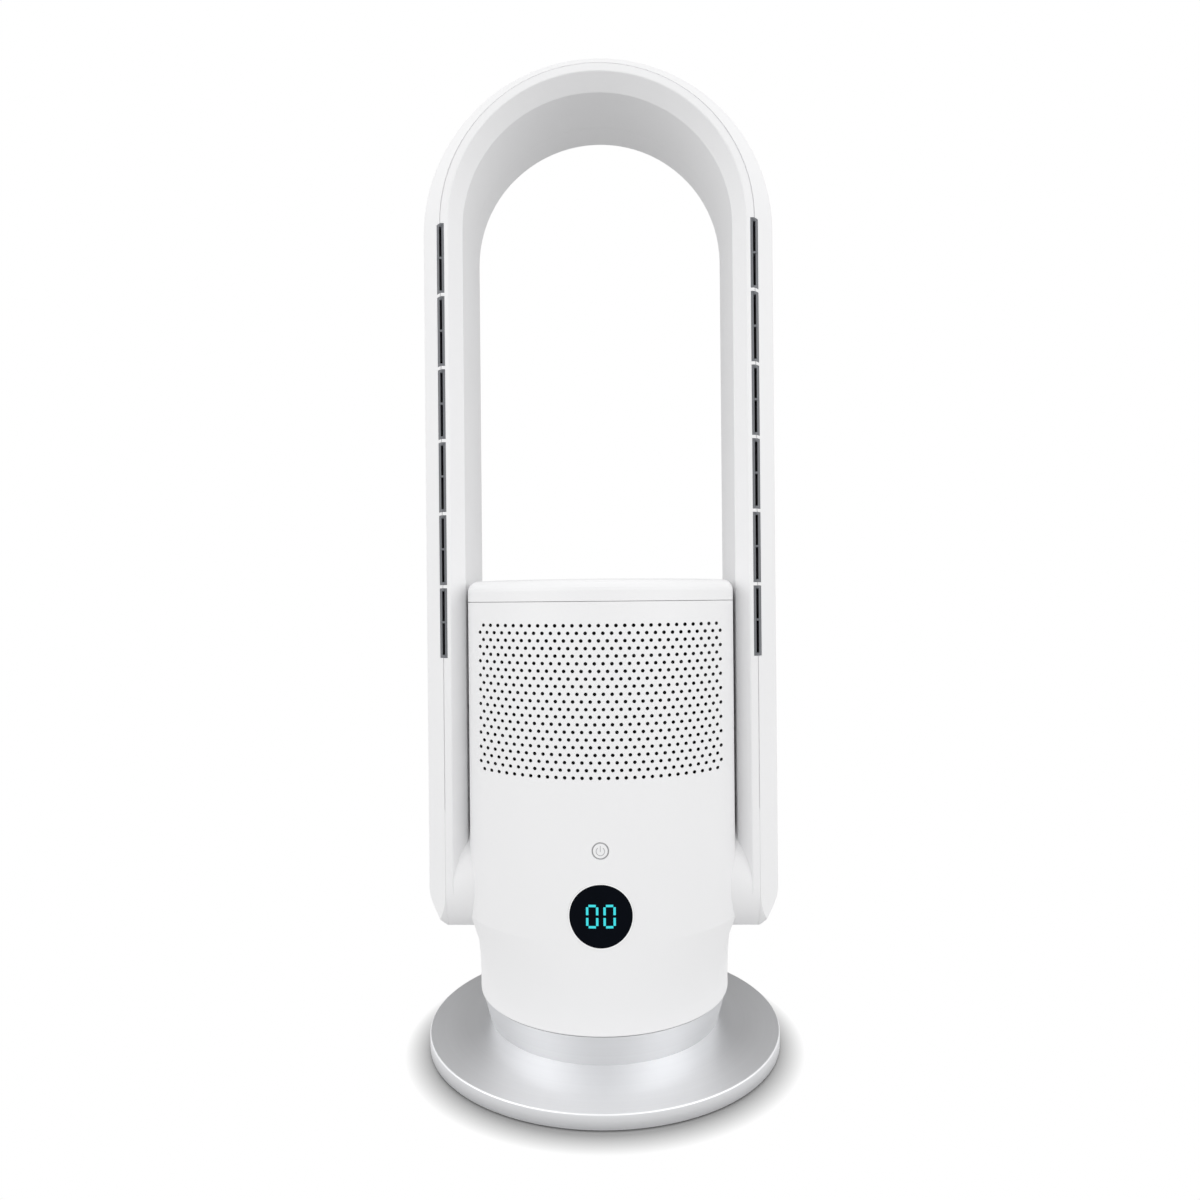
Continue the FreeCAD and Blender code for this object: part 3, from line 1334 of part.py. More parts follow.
def nozzle_strip(name, side, hoop_solid):
    """A moulded strip behind the slots of a leg, with a frame standing in each slot."""
    front = num(FRONT_PLANE)
    line = side * num("groove_line")
    strip_front = front + num("strip_setback")
    strip_back = strip_front + num("strip_thick")
    levels = slot_levels()
    length = num("slot_length")
    inner_edge = line - side * num("strip_inner")
    outer_edge = line + side * num("strip_outer")
    low = levels[-1] - num("strip_over")
    high = levels[0] + length + num("strip_over")
    spine_corner = Vector(min(inner_edge, outer_edge), strip_front, low)
    spine = Part.makeBox(abs(outer_edge - inner_edge), num("strip_thick"), high - low, spine_corner)
    recessed = hoop_solid.translated(Y_AXIS * num("frame_recess"))
    frames = [box.common(recessed) for box in slot_boxes(side, -num("frame_clear"), front, strip_back)]
    mouth = num("slot_width") / 2 - num("frame_clear") - num("frame_edge")
    slit = num("slit_width") / 2
    margin = num("slit_margin")
    depth = num("funnel_depth")
    tools = []
    for level in levels:
        top = level + length
        near = rectangle(line, mouth, level + num("frame_edge"), top - num("frame_edge"), front)
        deep = rectangle(line, slit, level + margin, top - margin, front + depth)
        tools.append(Part.makeLoft([near, deep], True, True))
        tools.append(Part.makeBox(2 * slit, strip_back - front, length - 2 * margin,
                                  Vector(line - slit, front + depth / 2, level + margin)))
    bite = num("rib_bite")
    rib_front = front + depth + num("frame_recess")
    rib_corners = [Vector(line - slit - bite, rib_front, level + length / 2) for level in levels]
    ribs = [Part.makeBox(2 * slit + 2 * bite, strip_back - rib_front, num("rib_height"), corner)
            for corner in rib_corners]
    shape_piece(name, spine.fuse(frames).cut(tools).fuse(ribs).removeSplitter())


def rectangle(across, half, low, high, depth):
    """An upright rectangle across Y."""
    corners = [Vector(across - half, depth, low), Vector(across + half, depth, low),
               Vector(across + half, depth, high), Vector(across - half, depth, high)]
    return Part.makePolygon(corners + corners[:1])


def arm_duct(name, side, hoop_solid, body_form):
    """A rounded arm between the body and a leg, with a square duct through it."""
    level = num("arm_level")
    foot = num("leg_foot")
    reach = num("flat_inner")
    start = num("body_half_width") / 2
    bulge = Part.makeCylinder(num("hoop_half_depth"), reach - start, Vector(start, 0, level), X_AXIS)
    below = Part.makeBox(4 * reach, 4 * reach, 4 * reach, Vector(-2 * reach, -2 * reach, foot - 4 * reach))
    fairing = bulge.cut([below, hoop_solid, body_form])
    half = num("arm_half_depth")
    wall = num("arm_wall")
    low = num("arm_floor")
    high = num("arm_roof")
    neck_start = num("casing_radius") / 2
    neck_length = num("arm_reach - fit_clear") - neck_start
    neck = Part.makeBox(neck_length, 2 * half, high - low, Vector(neck_start, -half, low))
    way_corner = Vector(0, wall - half, low + wall)
    way = Part.makeBox(4 * reach, 2 * (half - wall), high - low - 2 * wall, way_corner)
    drum = Part.makeCylinder(num("casing_radius - casing_wall / 2"), FAR, Vector(0, 0, -FAR / 2))
    duct = fairing.fuse(neck).cut([way, drum]).removeSplitter()
    if side < 0:
        duct = duct.mirror(Vector(), X_AXIS)
    shape_piece(name, duct)


base_cover()
base_plate()
base_fittings()
neck_collar()
swivel_post()
oscillation_gears()
stepper_motor()
turntable()
fan_casing()
fan_motor()
impeller()
inlet()
body_inside = body_solid(num("body_wall") / 2, num("body_floor"), num(PANEL_TOP))
front_panel(half_wall("hole_columns"), body_inside)
rear_panel(half_wall("rear_columns"), body_inside)
controls()
boards()
top_lid()
filter_cartridge()
hoop_form = hoop()
body_form = body_solid(0, num("body_floor"), num(PANEL_TOP))
for side_name, side_sign in SIDES.items():
    nozzle_strip(f"{side_name}_nozzle_strip", side_sign, hoop_form)
    arm_duct(f"{side_name}_arm", side_sign, hoop_form, body_form)

doc.recompute()
for item in doc.Objects:
    faults = [state for state in item.State if state in ("Invalid", "Error")]
    if faults:
        raise RuntimeError(f"{item.Label} could not be worked out: {faults}")
for item in pieces:
    if item.Shape.isNull() or not item.Shape.isValid() or not item.Shape.Solids:
        raise RuntimeError(f"{item.Label} has no sound solid")

os.makedirs("parts", exist_ok=True)
for item in pieces:
    item.Shape.exportStep(f"parts/{item.Label}.step")
    box = item.Shape.BoundBox
    print(f"{item.Label}: {len(item.Shape.Solids)} solids, {item.Shape.Volume / 1000:.1f} cm3, "
          f"z {box.ZMin:.1f} to {box.ZMax:.1f}")
print(len(pieces), "pieces")
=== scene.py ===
# %% [markdown]
# # Air purifier fan
# A white hoop fan with an air filter in its body, on a round silver foot. The solids come from the packed
# model and stay where they are. This file gives them their finishes, draws the small things that are printed
# or lit on them, and sets up the studio round them.

import json
import math

import bmesh
import bpy
from mathutils import Matrix, Vector
from mathutils.bvhtree import BVHTree


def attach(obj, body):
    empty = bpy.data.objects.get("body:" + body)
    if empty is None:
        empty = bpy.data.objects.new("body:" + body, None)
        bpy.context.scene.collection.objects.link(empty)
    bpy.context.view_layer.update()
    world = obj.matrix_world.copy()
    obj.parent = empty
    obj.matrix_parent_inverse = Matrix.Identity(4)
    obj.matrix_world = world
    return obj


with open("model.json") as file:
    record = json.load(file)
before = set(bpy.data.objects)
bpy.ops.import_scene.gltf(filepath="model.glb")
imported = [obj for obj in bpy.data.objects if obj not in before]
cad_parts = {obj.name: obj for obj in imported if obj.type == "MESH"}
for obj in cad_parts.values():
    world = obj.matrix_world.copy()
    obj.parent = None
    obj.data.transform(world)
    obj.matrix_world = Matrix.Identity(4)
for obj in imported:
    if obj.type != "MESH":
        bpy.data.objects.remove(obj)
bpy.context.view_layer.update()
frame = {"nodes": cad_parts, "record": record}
MM = 0.001

# %% [markdown]
# ## Camera
# The photograph was taken level with the body's top edge, close to the object, so the foot is seen from above
# and the arch from below. A short lens close by keeps that perspective; a long lens further off would flatten
# it. The picture is also turned by half a degree, so the camera is rolled by as much.

# %% Camera
CAMERA_PLACE = Vector((13.6, -625.05, 301.0)) * MM
CAMERA_WAY = Vector((-0.023, 0.9997, 0.0)).normalized()
CAMERA_ROLL = 0.009
LENS = 26.8
NEAREST_SEEN = 0.01


def rolled_axes(way, roll):
    """Right and up of a camera that looks along way and is rolled clockwise."""
    level = way.cross(Vector((0, 0, 1)))
    up = level.cross(way)
    right = level * math.cos(roll) - up * math.sin(roll)
    return right, right.cross(way)


right, up = rolled_axes(CAMERA_WAY, CAMERA_ROLL)
camera = bpy.data.objects.new("camera", bpy.data.cameras.new("camera"))
bpy.context.scene.collection.objects.link(camera)
turn = Matrix((right, up, -CAMERA_WAY)).transposed().to_4x4()
camera.matrix_world = Matrix.Translation(CAMERA_PLACE) @ turn
camera.data.lens = LENS
camera.data.clip_start = NEAREST_SEEN
bpy.context.scene.camera = camera
print("camera stands", round(-CAMERA_PLACE.y, 3), "m in front")

# %% [markdown]
# ## Writing shaders as sums
# A node tree for a finish soon gets long, so one small class stands for a node's output. Adding or
# multiplying two of them adds a Math node, and every other node comes from one method. The finish is then a
# few lines of arithmetic that read like the surface they describe.

# %% A finish and the values that flow through it
# The Mix node keeps sockets for each kind of value, and these are its sockets for colours
MIX_FACTOR = 0
MIX_FIRST = 6
MIX_SECOND = 7
MIX_RESULT = 2


class Flow:
    """One output socket of a finish's nodes."""

    def __init__(self, finish, socket):
        self.finish = finish
        self.socket = socket

    def math(self, operation, *values):
        return self.finish.node("ShaderNodeMath", {"operation": operation}, dict(enumerate(values)))

    def __add__(self, other):
        return self.math("ADD", self, other)

    def __radd__(self, other):
        return self.math("ADD", other, self)

    def __sub__(self, other):
        return self.math("SUBTRACT", self, other)

    def __rsub__(self, other):
        return self.math("SUBTRACT", other, self)

    def __mul__(self, other):
        return self.math("MULTIPLY", self, other)

    def __rmul__(self, other):
        return self.math("MULTIPLY", other, self)

    def __pow__(self, other):
        return self.math("POWER", self, other)


class Finish:
    """A material whose nodes are added one line at a time."""

    def __init__(self, name):
        self.material = bpy.data.materials.new(name)
        self.material.use_nodes = True
        self.tree = self.material.node_tree
        self.tree.nodes.clear()
        self.output = self.tree.nodes.new("ShaderNodeOutputMaterial")

    def node(self, kind, settings, values, output=0):
        made = self.tree.nodes.new(kind)
        for name, value in settings.items():
            setattr(made, name, value)
        for key, value in values.items():
            if isinstance(value, Flow):
                self.tree.links.new(value.socket, made.inputs[key])
            else:
                made.inputs[key].default_value = value
        return Flow(self, made.outputs[output])

    def place(self):
        return self.node("ShaderNodeTexCoord", {}, {}, "Object")

    def split(self, vector):
        parts = self.node("ShaderNodeSeparateXYZ", {}, {0: vector}).socket.node
        return [Flow(self, parts.outputs[at]) for at in range(3)]

    def join(self, x, y, z):
        return self.node("ShaderNodeCombineXYZ", {}, {0: x, 1: y, 2: z})

    def noise(self, vector, scale, detail, roughness=0.5):
        values = {"Vector": vector, "Scale": scale, "Detail": detail, "Roughness": roughness}
        return self.node("ShaderNodeTexNoise", {}, values)

    def between(self, factor, first, second):
        values = {MIX_FACTOR: factor, MIX_FIRST: (*first, 1.0), MIX_SECOND: (*second, 1.0)}
        return self.node("ShaderNodeMix", {"data_type": "RGBA"}, values, MIX_RESULT)

    def bump(self, height, distance, strength):
        values = {"Height": height, "Distance": distance, "Strength": strength}
        return self.node("ShaderNodeBump", {}, values)

    def show(self, shader):
        self.tree.links.new(shader.socket, self.output.inputs["Surface"])
        return self.material

    def shade(self, **values):
        sockets = {name.replace("_", " "): value for name, value in values.items()}
        return self.show(self.node("ShaderNodeBsdfPrincipled", {}, sockets, "BSDF"))


print("finishes are written with Finish and Flow")

# %% [markdown]
# ## Moulded plastics
# The shell is white plastic from a fine-sparked mould: satin, with a very small grain that softens the
# highlight, and a tone that drifts a little from place to place. The grey, dark and natural plastics come from
# the same kind of mould, so one function takes the two tones, the roughness and the size of the grain.

# %% Moulded plastics
DRIFT_SCALE = 9.0
WIPE_SCALE = 35.0
WIPE_SPREAD = 0.08
SPARK_DEPTH = 0.02 * MM
SPARK_STRENGTH = 0.35
SATIN_SHINE = 0.4
# Pale tone, deep tone, roughness and grain of each plastic
PLASTICS = {
    "white_plastic": ((0.86, 0.86, 0.865), (0.83, 0.83, 0.838), 0.42, 2600.0),
    # Brighter copy of the white for the bezel: painted highlight on its ring, with real shine from the lower
    # roughness
    "bezel_white_painted_highlight": ((0.95, 0.95, 0.95), (0.92, 0.92, 0.92), 0.2, 2600.0),
    "grey_plastic": ((0.165, 0.172, 0.186), (0.14, 0.146, 0.158), 0.5, 2200.0),
    "dark_plastic": ((0.06, 0.06, 0.065), (0.045, 0.045, 0.05), 0.5, 2000.0),
    "natural_plastic": ((0.80, 0.79, 0.72), (0.74, 0.73, 0.66), 0.38, 1800.0),
}


def moulded(name, pale, deep, roughness, grain):
    finish = Finish(name)
    place = finish.place()
    drift = finish.noise(place, DRIFT_SCALE, 3.0)
    speck = finish.noise(place, grain, 2.0)
    wipe = finish.noise(place, WIPE_SCALE, 4.0)
    return finish.shade(
        Base_Color=finish.between(drift, pale, deep),
        Roughness=roughness - WIPE_SPREAD / 2 + wipe * WIPE_SPREAD,
        Normal=finish.bump(speck, SPARK_DEPTH, SPARK_STRENGTH),
        Specular_IOR_Level=SATIN_SHINE,
    )


plastics = {name: moulded(name, *values) for name, values in PLASTICS.items()}
print("plastics:", ", ".join(plastics))

# %% [markdown]
# ## Spun silver foot
# The foot and the neck look like turned metal: fine rings round the axis, and reflections that are drawn out
# across them. A picture of brushed metal would show its seams, so the rings are noise that is read by the
# distance from the axis and the height alone, and the shader's own anisotropy draws out the reflections. The
# neck gets a darker copy of the same silver: painted shade, for the neck stands in shade under the body.

# %% Spun silver
RINGS_PER_METRE = 900.0
BANDS_PER_METRE = 60.0
RING_DEPTH = 0.03 * MM
RING_STRENGTH = 0.4
SILVER_ROUGHNESS = 0.37
BAND_SPREAD = 0.08


def spun_silver(name, pale, deep):
    finish = Finish(name)
    x, y, z = finish.split(finish.place())
    radius = (x * x + y * y) ** 0.5
    fine = finish.join(radius * RINGS_PER_METRE, z * RINGS_PER_METRE, 0.0)
    broad = finish.join(radius * BANDS_PER_METRE, z * BANDS_PER_METRE, 0.0)
    rings = finish.noise(fine, 1.0, 4.0, 0.7)
    bands = finish.noise(broad, 1.0, 3.0)
    return finish.shade(
        Base_Color=finish.between(rings, pale, deep),
        Metallic=0.9,
        Roughness=SILVER_ROUGHNESS + bands * BAND_SPREAD,
        Normal=finish.bump(rings, RING_DEPTH, RING_STRENGTH),
        Anisotropic=0.5,
    )


silver = spun_silver("silver_paint", (0.89, 0.895, 0.91), (0.83, 0.835, 0.85))
# Darker copy of the silver for the neck: painted shade
neck_silver_painted_shade = spun_silver("neck_silver_painted_shade", (0.68, 0.685, 0.695), (0.62, 0.625, 0.635))
print("silver:", silver.name, neck_silver_painted_shade.name)

# %% [markdown]
# ## Steel, motor cans and rubber
# Most of these sit inside. Drawn steel has fine streaks along one way, so its noise is stretched along the
# height, and rubber is dull with a slight bloom.

# %% Metals and rubber
STREAKS_ACROSS = 900.0
STREAKS_ALONG = 60.0
STREAK_DEPTH = 0.02 * MM
BLOOM_SCALE = 120.0
GRIT_SCALE = 3000.0
GRIT_DEPTH = 0.04 * MM


def streaked(name, pale, deep, roughness):
    finish = Finish(name)
    x, y, z = finish.split(finish.place())
    stretched = finish.join(x * STREAKS_ACROSS, y * STREAKS_ACROSS, z * STREAKS_ALONG)
    streak = finish.noise(stretched, 1.0, 4.0, 0.6)
    return finish.shade(
        Base_Color=finish.between(streak, pale, deep),
        Metallic=1.0,
        Roughness=roughness + streak * 0.15,
        Normal=finish.bump(streak, STREAK_DEPTH, 0.3),
    )


def dull_rubber():
    finish = Finish("rubber")
    place = finish.place()
    bloom = finish.noise(place, BLOOM_SCALE, 5.0)
    grit = finish.noise(place, GRIT_SCALE, 2.0)
    return finish.shade(
        Base_Color=finish.between(bloom, (0.028, 0.028, 0.03), (0.05, 0.05, 0.05)),
        Roughness=0.75 + bloom * 0.15,
        Normal=finish.bump(grit, GRIT_DEPTH, 0.5),
    )


steel = streaked("steel", (0.62, 0.62, 0.64), (0.5, 0.5, 0.52), 0.25)
motor_metal = streaked("motor_metal", (0.58, 0.59, 0.6), (0.48, 0.49, 0.5), 0.35)
rubber = dull_rubber()
print("metals and rubber are ready")

# %% [markdown]
# ## Filter, boards and window
# The filter's sleeve is carbon cloth with a fine square net over it, and the media inside is pleated fibre.
# The boards are green solder mask with paler tracks. The window is polished black plastic with the faint
# smears that polished plastic always has.

# %% Filter, boards and window
THREADS_ROUND = 220.0
THREADS_UP = 3200.0
GRAIN_SCALE = 1500.0
FIBRE_SCALE = 1400.0
CLOTH_DEPTH = 0.2 * MM
TRACKS_ALONG = 40.0
TRACKS_ACROSS = 400.0
TRACK_LEVEL = 0.56
TRACK_DEPTH = 0.03 * MM
SMEAR_SCALE = 90.0


def carbon_cloth():
    finish = Finish("carbon_black")
    x, y, z = finish.split(finish.place())
    around = x.math("ARCTAN2", y, x) * THREADS_ROUND
    upward = z * THREADS_UP
    across = around.math("SINE", around)
    along = upward.math("SINE", upward)
    net = across.math("MAXIMUM", across, along)
    grains = finish.noise(finish.place(), GRAIN_SCALE, 3.0)
    return finish.shade(
        Base_Color=finish.between(grains, (0.02, 0.02, 0.022), (0.06, 0.06, 0.062)),
        Roughness=0.7 + grains * 0.2,
        Normal=finish.bump(net + grains, CLOTH_DEPTH, 0.6),
    )


def pleated_fibre():
    finish = Finish("filter_white")
    fibres = finish.noise(finish.place(), FIBRE_SCALE, 6.0, 0.7)
    return finish.shade(
        Base_Color=finish.between(fibres, (0.82, 0.82, 0.79), (0.7, 0.7, 0.67)),
        Roughness=0.9,
        Normal=finish.bump(fibres, CLOTH_DEPTH, 0.6),
    )


def solder_mask():
    finish = Finish("board_green")
    x, y, z = finish.split(finish.place())
    stretched = finish.join(x * TRACKS_ALONG, y * TRACKS_ACROSS, z * TRACKS_ACROSS)
    tracks = finish.noise(stretched, 1.0, 0.0)
    copper = tracks.math("GREATER_THAN", tracks, TRACK_LEVEL)
    return finish.shade(
        Base_Color=finish.between(copper, (0.02, 0.14, 0.06), (0.05, 0.24, 0.1)),
        Roughness=0.35 + copper * 0.1,
        Normal=finish.bump(copper, TRACK_DEPTH, 0.5),
    )


def polished_black():
    finish = Finish("black_window")
    smears = finish.noise(finish.place(), SMEAR_SCALE, 5.0, 0.6)
    return finish.shade(
        Base_Color=finish.between(smears, (0.001, 0.002, 0.004), (0.002, 0.003, 0.006)),
        Roughness=0.05 + smears * 0.06,
        Specular_IOR_Level=0.03,
    )


carbon = carbon_cloth()
fibre = pleated_fibre()
board = solder_mask()
window = polished_black()
print("filter, boards and window are ready")

# %% [markdown]
# ## Give every solid its finish
# The imported record says which material slot each solid belongs to. Each slot has one finish here, so the loop
# needs no list of solids. The bezel round the window then gets a brighter, glossier white, whose extra
# brightness is a painted highlight for its light ring, and the neck a darker silver as painted shade.

# %% Finishes on the solids
BY_SLOT = {
    "white_plastic": plastics["white_plastic"],
    "silver_paint": silver,
    "black_window": window,
    "grey_plastic": plastics["grey_plastic"],
    "dark_plastic": plastics["dark_plastic"],
    "natural_plastic": plastics["natural_plastic"],
    "steel": steel,
    "motor_metal": motor_metal,
    "rubber": rubber,
    "board_green": board,
    "filter_white": fibre,
    "carbon_black": carbon,
}
SLOT_OF = {row["node"]: row["material_slot"] for row in frame["record"]["subparts"]}
for node, solid in frame["nodes"].items():
    solid.data.materials.clear()
    solid.data.materials.append(BY_SLOT[SLOT_OF[node]])
# The bezel's brighter white is a painted highlight
frame["nodes"]["display_bezel"].data.materials[0] = plastics["bezel_white_painted_highlight"]
# The neck's darker silver is painted shade
frame["nodes"]["neck_collar"].data.materials[0] = neck_silver_painted_shade
print("finished solids:", len(SLOT_OF))

# %% [markdown]
# ## Flat prints on curved solids
# The lit digits and the power sign are as thin as ink, on a window and a button that are curved. Each is drawn
# flat first. Its corners are then moved straight back until they lie just in front of the solid, and a wide
# print is cut into narrow strips before that, so that it can bend with the surface.

# %% Laying flat prints on a curved solid
PRINT_LIFT = 0.06 * MM
STRIP = 0.8 * MM
SAME_PLACE = 1e-7
FRONT = Vector((0, -1, 0))
BODIES = frame["record"]["behaviour"]["bodies"]
BODY_OF = {node: body for body, nodes in BODIES.items() for node in nodes}


def laid_on(shape, node):
    """Moves a flat print in X and Z back along Y until it lies just in front of a solid."""
    mesh = frame["nodes"][node].data
    corners = [corner.co for corner in mesh.vertices]
    tree = BVHTree.FromPolygons(corners, [face.vertices for face in mesh.polygons])
    for corner in shape.verts:
        start = Vector((corner.co.x, -1.0, corner.co.z))
        corner.co = tree.ray_cast(start, -FRONT)[0] + FRONT * PRINT_LIFT


def cut_in_strips(shape, low, high):
    """Upright cuts across a flat print, close enough together that it can bend."""
    cuts = math.ceil((high - low) / STRIP)
    for at in range(1, cuts):
        parts = shape.verts[:] + shape.edges[:] + shape.faces[:]
        place = (low + (high - low) * at / cuts, 0, 0)
        bmesh.ops.bisect_plane(shape, geom=parts, dist=SAME_PLACE, plane_co=place, plane_no=(1, 0, 0))


def printed(name, shape, node, finish):
    """Makes a finished print a piece that rides with the solid it lies on."""
    laid_on(shape, node)
    bmesh.ops.recalc_face_normals(shape, faces=shape.faces[:])
    if sum(face.normal.y for face in shape.faces) > 0:
        bmesh.ops.reverse_faces(shape, faces=shape.faces[:])
    mesh = bpy.data.meshes.new(name)
    shape.to_mesh(mesh)
    shape.free()
    mesh.materials.append(finish)
    piece = bpy.data.objects.new(name, mesh)
    bpy.context.scene.collection.objects.link(piece)
    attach(piece, BODY_OF[node])
    print(name, "has", len(mesh.polygons), "faces on", node)


print("prints lie", PRINT_LIFT, "m in front of their solids")

# %% [markdown]
# ## Lit digits
# Behind the black window sit two seven-segment digits that show zeros in cyan. A segment is a bar with pointed
# ends, so each one starts as a six-sided circle whose sides are pulled apart, and its corners are rounded.

# %% Digits
DIGIT_WIDE = 7.5 * MM
DIGIT_HIGH = 14.3 * MM
DIGIT_GAP = 3.05 * MM
BAR_THICK = 1.45 * MM
BAR_SPACE = 0.16 * MM
BAR_ROUND = 0.12 * MM
TIP_LIMIT = 0.1
DISPLAY_LEVEL = 109.5 * MM
GLOW_GRAIN = 900.0
GLOW_DROP = 0.85


def segment(shape, middle, length, upright):
    """A bar with pointed ends, flat in X and Z."""
    made = bmesh.ops.create_circle(shape, cap_ends=True, segments=6, radius=1.0)["verts"]
    for corner in made:
        tip = abs(corner.co.y) < TIP_LIMIT
        across = length / 2 if tip else length / 2 - BAR_THICK / 2
        corner.co.x = math.copysign(across, corner.co.x)
        corner.co.y = 0.0 if tip else math.copysign(BAR_THICK / 2, corner.co.y)
    turn = Matrix.Rotation(math.pi / 2, 4, "X")
    if upright:
        turn = turn @ Matrix.Rotation(math.pi / 2, 4, "Z")
    bmesh.ops.transform(shape, matrix=Matrix.Translation(middle) @ turn, verts=made)


def zero(shape, middle):
    """The six lit bars of a nought."""
    side = (DIGIT_WIDE - BAR_THICK) / 2
    half = (DIGIT_HIGH - BAR_THICK) / 2
    for way in (-1, 1):
        segment(shape, middle + Vector((0, 0, way * half)), 2 * side - BAR_SPACE, False)
        for end in (-1, 1):
            segment(shape, middle + Vector((way * side, 0, end * half / 2)), half - BAR_SPACE, True)


def glow(name, colour, strength):
    """A lit print: the light comes through a fine grain, so it is a little uneven."""
    finish = Finish(name)
    grain = finish.noise(finish.place(), GLOW_GRAIN, 2.0)
    deep = tuple(part * GLOW_DROP for part in colour)
    return finish.shade(
        Base_Color=(0.0, 0.02, 0.02, 1.0),
        Roughness=0.3,
        Emission_Color=finish.between(grain, colour, deep),
        Emission_Strength=strength,
    )


digits = bmesh.new()
step = (DIGIT_WIDE + DIGIT_GAP) / 2
for way in (-1, 1):
    zero(digits, Vector((way * step, 0, DISPLAY_LEVEL)))
bmesh.ops.bevel(
    digits,
    geom=digits.verts[:],
    offset=BAR_ROUND,
    segments=3,
    profile=0.5,
    affect="VERTICES",
    material=-1,
)
cut_in_strips(digits, -step - DIGIT_WIDE / 2, step + DIGIT_WIDE / 2)
cyan = glow("digit_glow", (0.03, 0.76, 0.82), 1.0)
printed("display_digits", digits, "display_window", cyan)

# %% [markdown]
# ## Power sign
# The button is printed with the usual power sign in grey: a ring that is open at the top and a short bar in
# the gap, inside a thin circle. Each ring is a short edge spun about the button's axis, so the line has the
# same width all the way.

# %% Power sign
BUTTON_LEVEL = 149.2 * MM
SIGN_DROP = 0.3 * MM
SIGN_RADIUS = 2.55 * MM
SIGN_LINE = 0.5 * MM
SIGN_GAP = math.radians(36)
SIGN_STEPS = 40
BAR_TOP = 3.1 * MM
BAR_BOTTOM = -0.5 * MM
CIRCLE_RADIUS = 4.72 * MM
CIRCLE_LINE = 0.5 * MM
FULL_TURN = 2 * math.pi
MOTTLE_SCALE = 1800.0


def spun_line(shape, centre, radius, width, start, sweep):
    """A line of even width along an arc in X and Z. Angles run from the top."""
    ends = []
    for reach in (radius - width / 2, radius + width / 2):
        ends.append(shape.verts.new(centre + Vector((math.sin(start), 0, math.cos(start))) * reach))
    bmesh.ops.spin(
        shape,
        geom=[*ends, shape.edges.new(ends)],
        cent=centre,
        axis=(0, 1, 0),
        angle=sweep,
        steps=SIGN_STEPS,
        use_merge=math.isclose(sweep, FULL_TURN),
    )


def ink(name, tone, deep):
    """Screen print: matt, with the slight mottle of thin ink."""
    finish = Finish(name)
    mottle = finish.noise(finish.place(), MOTTLE_SCALE, 4.0)
    return finish.shade(Base_Color=finish.between(mottle, tone, deep), Roughness=0.55 + mottle * 0.1)


centre = Vector((0, 0, BUTTON_LEVEL))
circle_ink = ink("circle_ink", (0.36, 0.36, 0.37), (0.31, 0.31, 0.32))
circle = bmesh.new()
spun_line(circle, centre, CIRCLE_RADIUS, CIRCLE_LINE, 0.0, FULL_TURN)
printed("button_circle", circle, "power_button", circle_ink)

sign_ink = ink("sign_ink", (0.52, 0.52, 0.53), (0.46, 0.46, 0.47))
sign = bmesh.new()
sign_centre = centre - Vector((0, 0, SIGN_DROP))
spun_line(sign, sign_centre, SIGN_RADIUS, SIGN_LINE, SIGN_GAP, FULL_TURN - 2 * SIGN_GAP)
bar = bmesh.ops.create_grid(sign, x_segments=1, y_segments=4, size=0.5)["verts"]
tall = BAR_TOP - BAR_BOTTOM
upright = Matrix.Rotation(math.pi / 2, 4, "X") @ Matrix.Diagonal((SIGN_LINE, tall, 1, 1))
middle = centre + Vector((0, 0, (BAR_TOP + BAR_BOTTOM) / 2))
bmesh.ops.transform(sign, matrix=Matrix.Translation(middle) @ upright, verts=bar)
printed("power_sign", sign, "power_button", sign_ink)

# %% [markdown]
# ## Lamps
# The photograph is lit softly from all round, most of all from both sides of the front. Four large soft lamps
# stand to the left and right of the camera and of the object, at a level where white plastic shows its own
# tone. Small lamps would give hard shadows that the photograph doesn't have.

# %% Lamps
FRONT_AIM = (0, 0, 0.5)
SIDE_AIM = (0, 0, 0.55)
FRONT_SIZE = (1.2, 0.8)
SIDE_SIZE = (1.2, 1.0)
# Place, aim, width and height in metres, and watts of each lamp
LAMPS = {
    "front_left": ((-1.3, -1.5, 0.6), FRONT_AIM, FRONT_SIZE, 4.6),
    "front_right": ((1.3, -1.5, 0.6), FRONT_AIM, FRONT_SIZE, 5.0),
    "side_left": ((-1.7, -0.8, 0.85), SIDE_AIM, SIDE_SIZE, 6.4),
    "side_right": ((1.7, -0.8, 0.85), SIDE_AIM, SIDE_SIZE, 6.4),
}


def softbox(name, place, aim, size, watts):
    light = bpy.data.lights.new(name, "AREA")
    light.shape = "RECTANGLE"
    light.size, light.size_y = size
    light.energy = watts
    lamp = bpy.data.objects.new(name, light)
    bpy.context.scene.collection.objects.link(lamp)
    lamp.location = place
    lamp.rotation_euler = (Vector(aim) - Vector(place)).to_track_quat("-Z", "Y").to_euler()


for name, values in LAMPS.items():
    softbox(name, *values)
print("lamps:", len(bpy.data.lights))

# %% [markdown]
# ## White world
# The ground of the photograph is white. A world bright enough for that would also wash out the object, so the
# world shows white to the camera and to reflections, and lights things a little less.

# %% White world
DAYLIGHT = 0.9


def seen_directly(finish):
    """1 for the camera, for reflections and through glass, 0 for the light that falls on things."""
    camera_ray = finish.node("ShaderNodeLightPath", {}, {}, "Is Camera Ray")
    rays = camera_ray.socket.node.outputs
    seen = camera_ray
    for name in ("Is Glossy Ray", "Is Transmission Ray"):
        seen = seen.math("MAXIMUM", seen, Flow(finish, rays[name]))
    return seen


class WorldFinish(Finish):
    """The same way of adding nodes, in the world's own tree."""

    def __init__(self, world):
        world.use_nodes = True
        self.tree = world.node_tree
        self.back = world.node_tree.nodes["Background"]


world = bpy.data.worlds.new("studio")
bpy.context.scene.world = world
sky = WorldFinish(world)
strength = DAYLIGHT + seen_directly(sky) * (1.0 - DAYLIGHT)
sky.back.inputs["Color"].default_value = (1.0, 1.0, 1.0, 1.0)
sky.tree.links.new(strength.socket, sky.back.inputs["Strength"])
print("world lights at", DAYLIGHT)
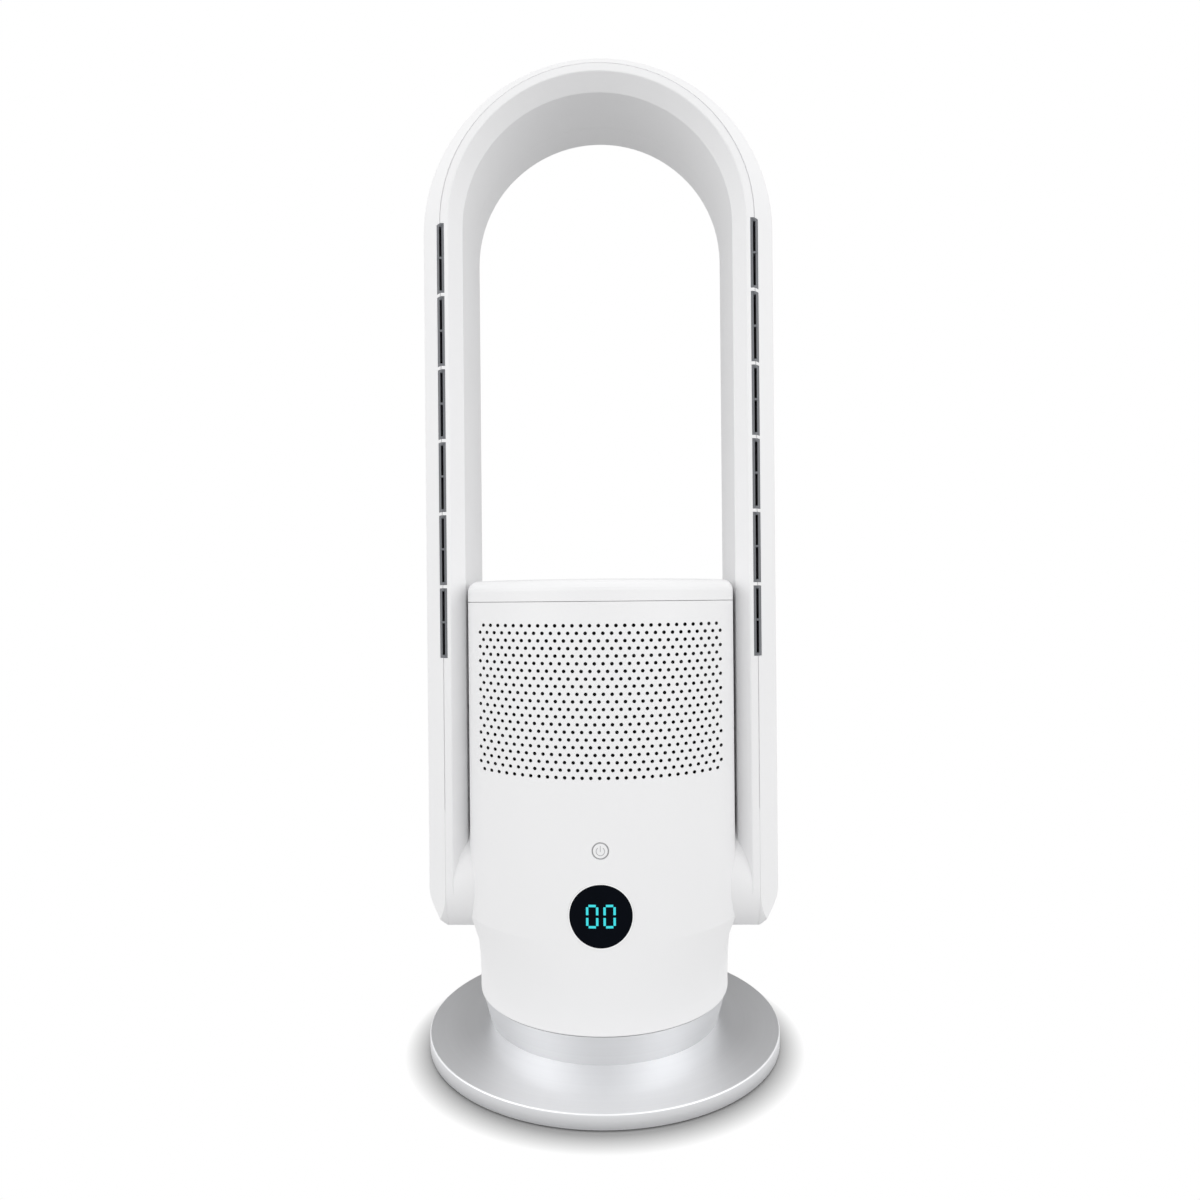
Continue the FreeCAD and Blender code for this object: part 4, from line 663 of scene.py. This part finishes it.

# %% [markdown]
# ## Floor
# The object stands on a white sweep and has a soft shadow close round its foot. Close to the foot the floor is
# a matt grey, a painted shadow on which the lamps' real shadow also falls, and this grey disc sits a little
# towards the front, where the shadow reaches furthest. Further out it fades to plain white. A white floor alone
# would either lose the shadow or show grey all the way to the picture's edge.

# %% Floor
# Tone of the painted shadow round the foot
PAINTED_SHADOW_TONE = 0.36
SWEEP_TONE = 0.47
# The painted shadow's disc is centred this far towards the camera
FADE_SHIFT = 0.0065
FADE_START = 0.1165
FADE_WIDTH = 0.0185
FLOOR_HALF = 6.0
SHEET_CELLS = 8


def sheet(name, half):
    """A flat square that belongs to the studio."""
    shape = bmesh.new()
    bmesh.ops.create_grid(shape, x_segments=SHEET_CELLS, y_segments=SHEET_CELLS, size=half)
    mesh = bpy.data.meshes.new(name)
    shape.to_mesh(mesh)
    shape.free()
    item = bpy.data.objects.new(name, mesh)
    bpy.context.scene.collection.objects.link(item)
    return item


def matt(finish, tone):
    return finish.node("ShaderNodeBsdfDiffuse", {}, {"Color": (tone, tone, tone, 1.0)})


def sweep_with_painted_shadow():
    """Matt grey close to the foot as a painted shadow, which the real shadow darkens further, and plain white
    to the eye further out.
    """
    finish = Finish("floor_white_painted_shadow")
    x, y = finish.split(finish.place())[:2]
    ahead = y + FADE_SHIFT
    out = ((x * x + ahead * ahead) ** 0.5 - FADE_START) * (1 / FADE_WIDTH)
    clamped = out.math("MINIMUM", out.math("MAXIMUM", out, 0.0), 1.0)
    plain = finish.node("ShaderNodeEmission", {}, {"Strength": 1.0})
    mixed = {0: seen_directly(finish), 1: matt(finish, SWEEP_TONE), 2: plain}
    far = finish.node("ShaderNodeMixShader", {}, mixed)
    # Painted shadow: matt grey round the foot, fading out to the white sweep
    both = {0: clamped, 1: matt(finish, PAINTED_SHADOW_TONE), 2: far}
    return finish.show(finish.node("ShaderNodeMixShader", {}, both))


floor = sheet("floor", FLOOR_HALF)
floor.data.materials.append(sweep_with_painted_shadow())
bpy.context.scene.view_settings.view_transform = "Standard"
print("floor fades to white from", FADE_START, "m")

# %% [markdown]
# ## Dark card
# Silver in an all-white studio looks like white plastic. A dark card behind the object, which only reflections
# see, gives the silver its contrast, as in any studio that photographs bright things on white.

# %% Dark card behind
CARD_PLACE = (0, 0.9, 0.4)
CARD_HALF = 0.75
CARD_DEEP = (0.1, 0.1, 0.1)
CARD_PALE = (0.14, 0.14, 0.14)
NAP_SCALE = 300.0


def dark_card():
    """A dark cloth behind the object that only reflections see."""
    card = sheet("card_back", CARD_HALF)
    upright = Matrix.Rotation(math.pi / 2, 4, "X")
    card.data.transform(Matrix.Translation(CARD_PLACE) @ upright)
    finish = Finish("card_cloth")
    nap = finish.noise(finish.place(), NAP_SCALE, 4.0)
    cloth = finish.shade(Base_Color=finish.between(nap, CARD_DEEP, CARD_PALE), Roughness=0.9)
    card.data.materials.append(cloth)
    card.visible_camera = False
    card.visible_diffuse = False
    card.visible_shadow = False


dark_card()
print("a card stands behind")
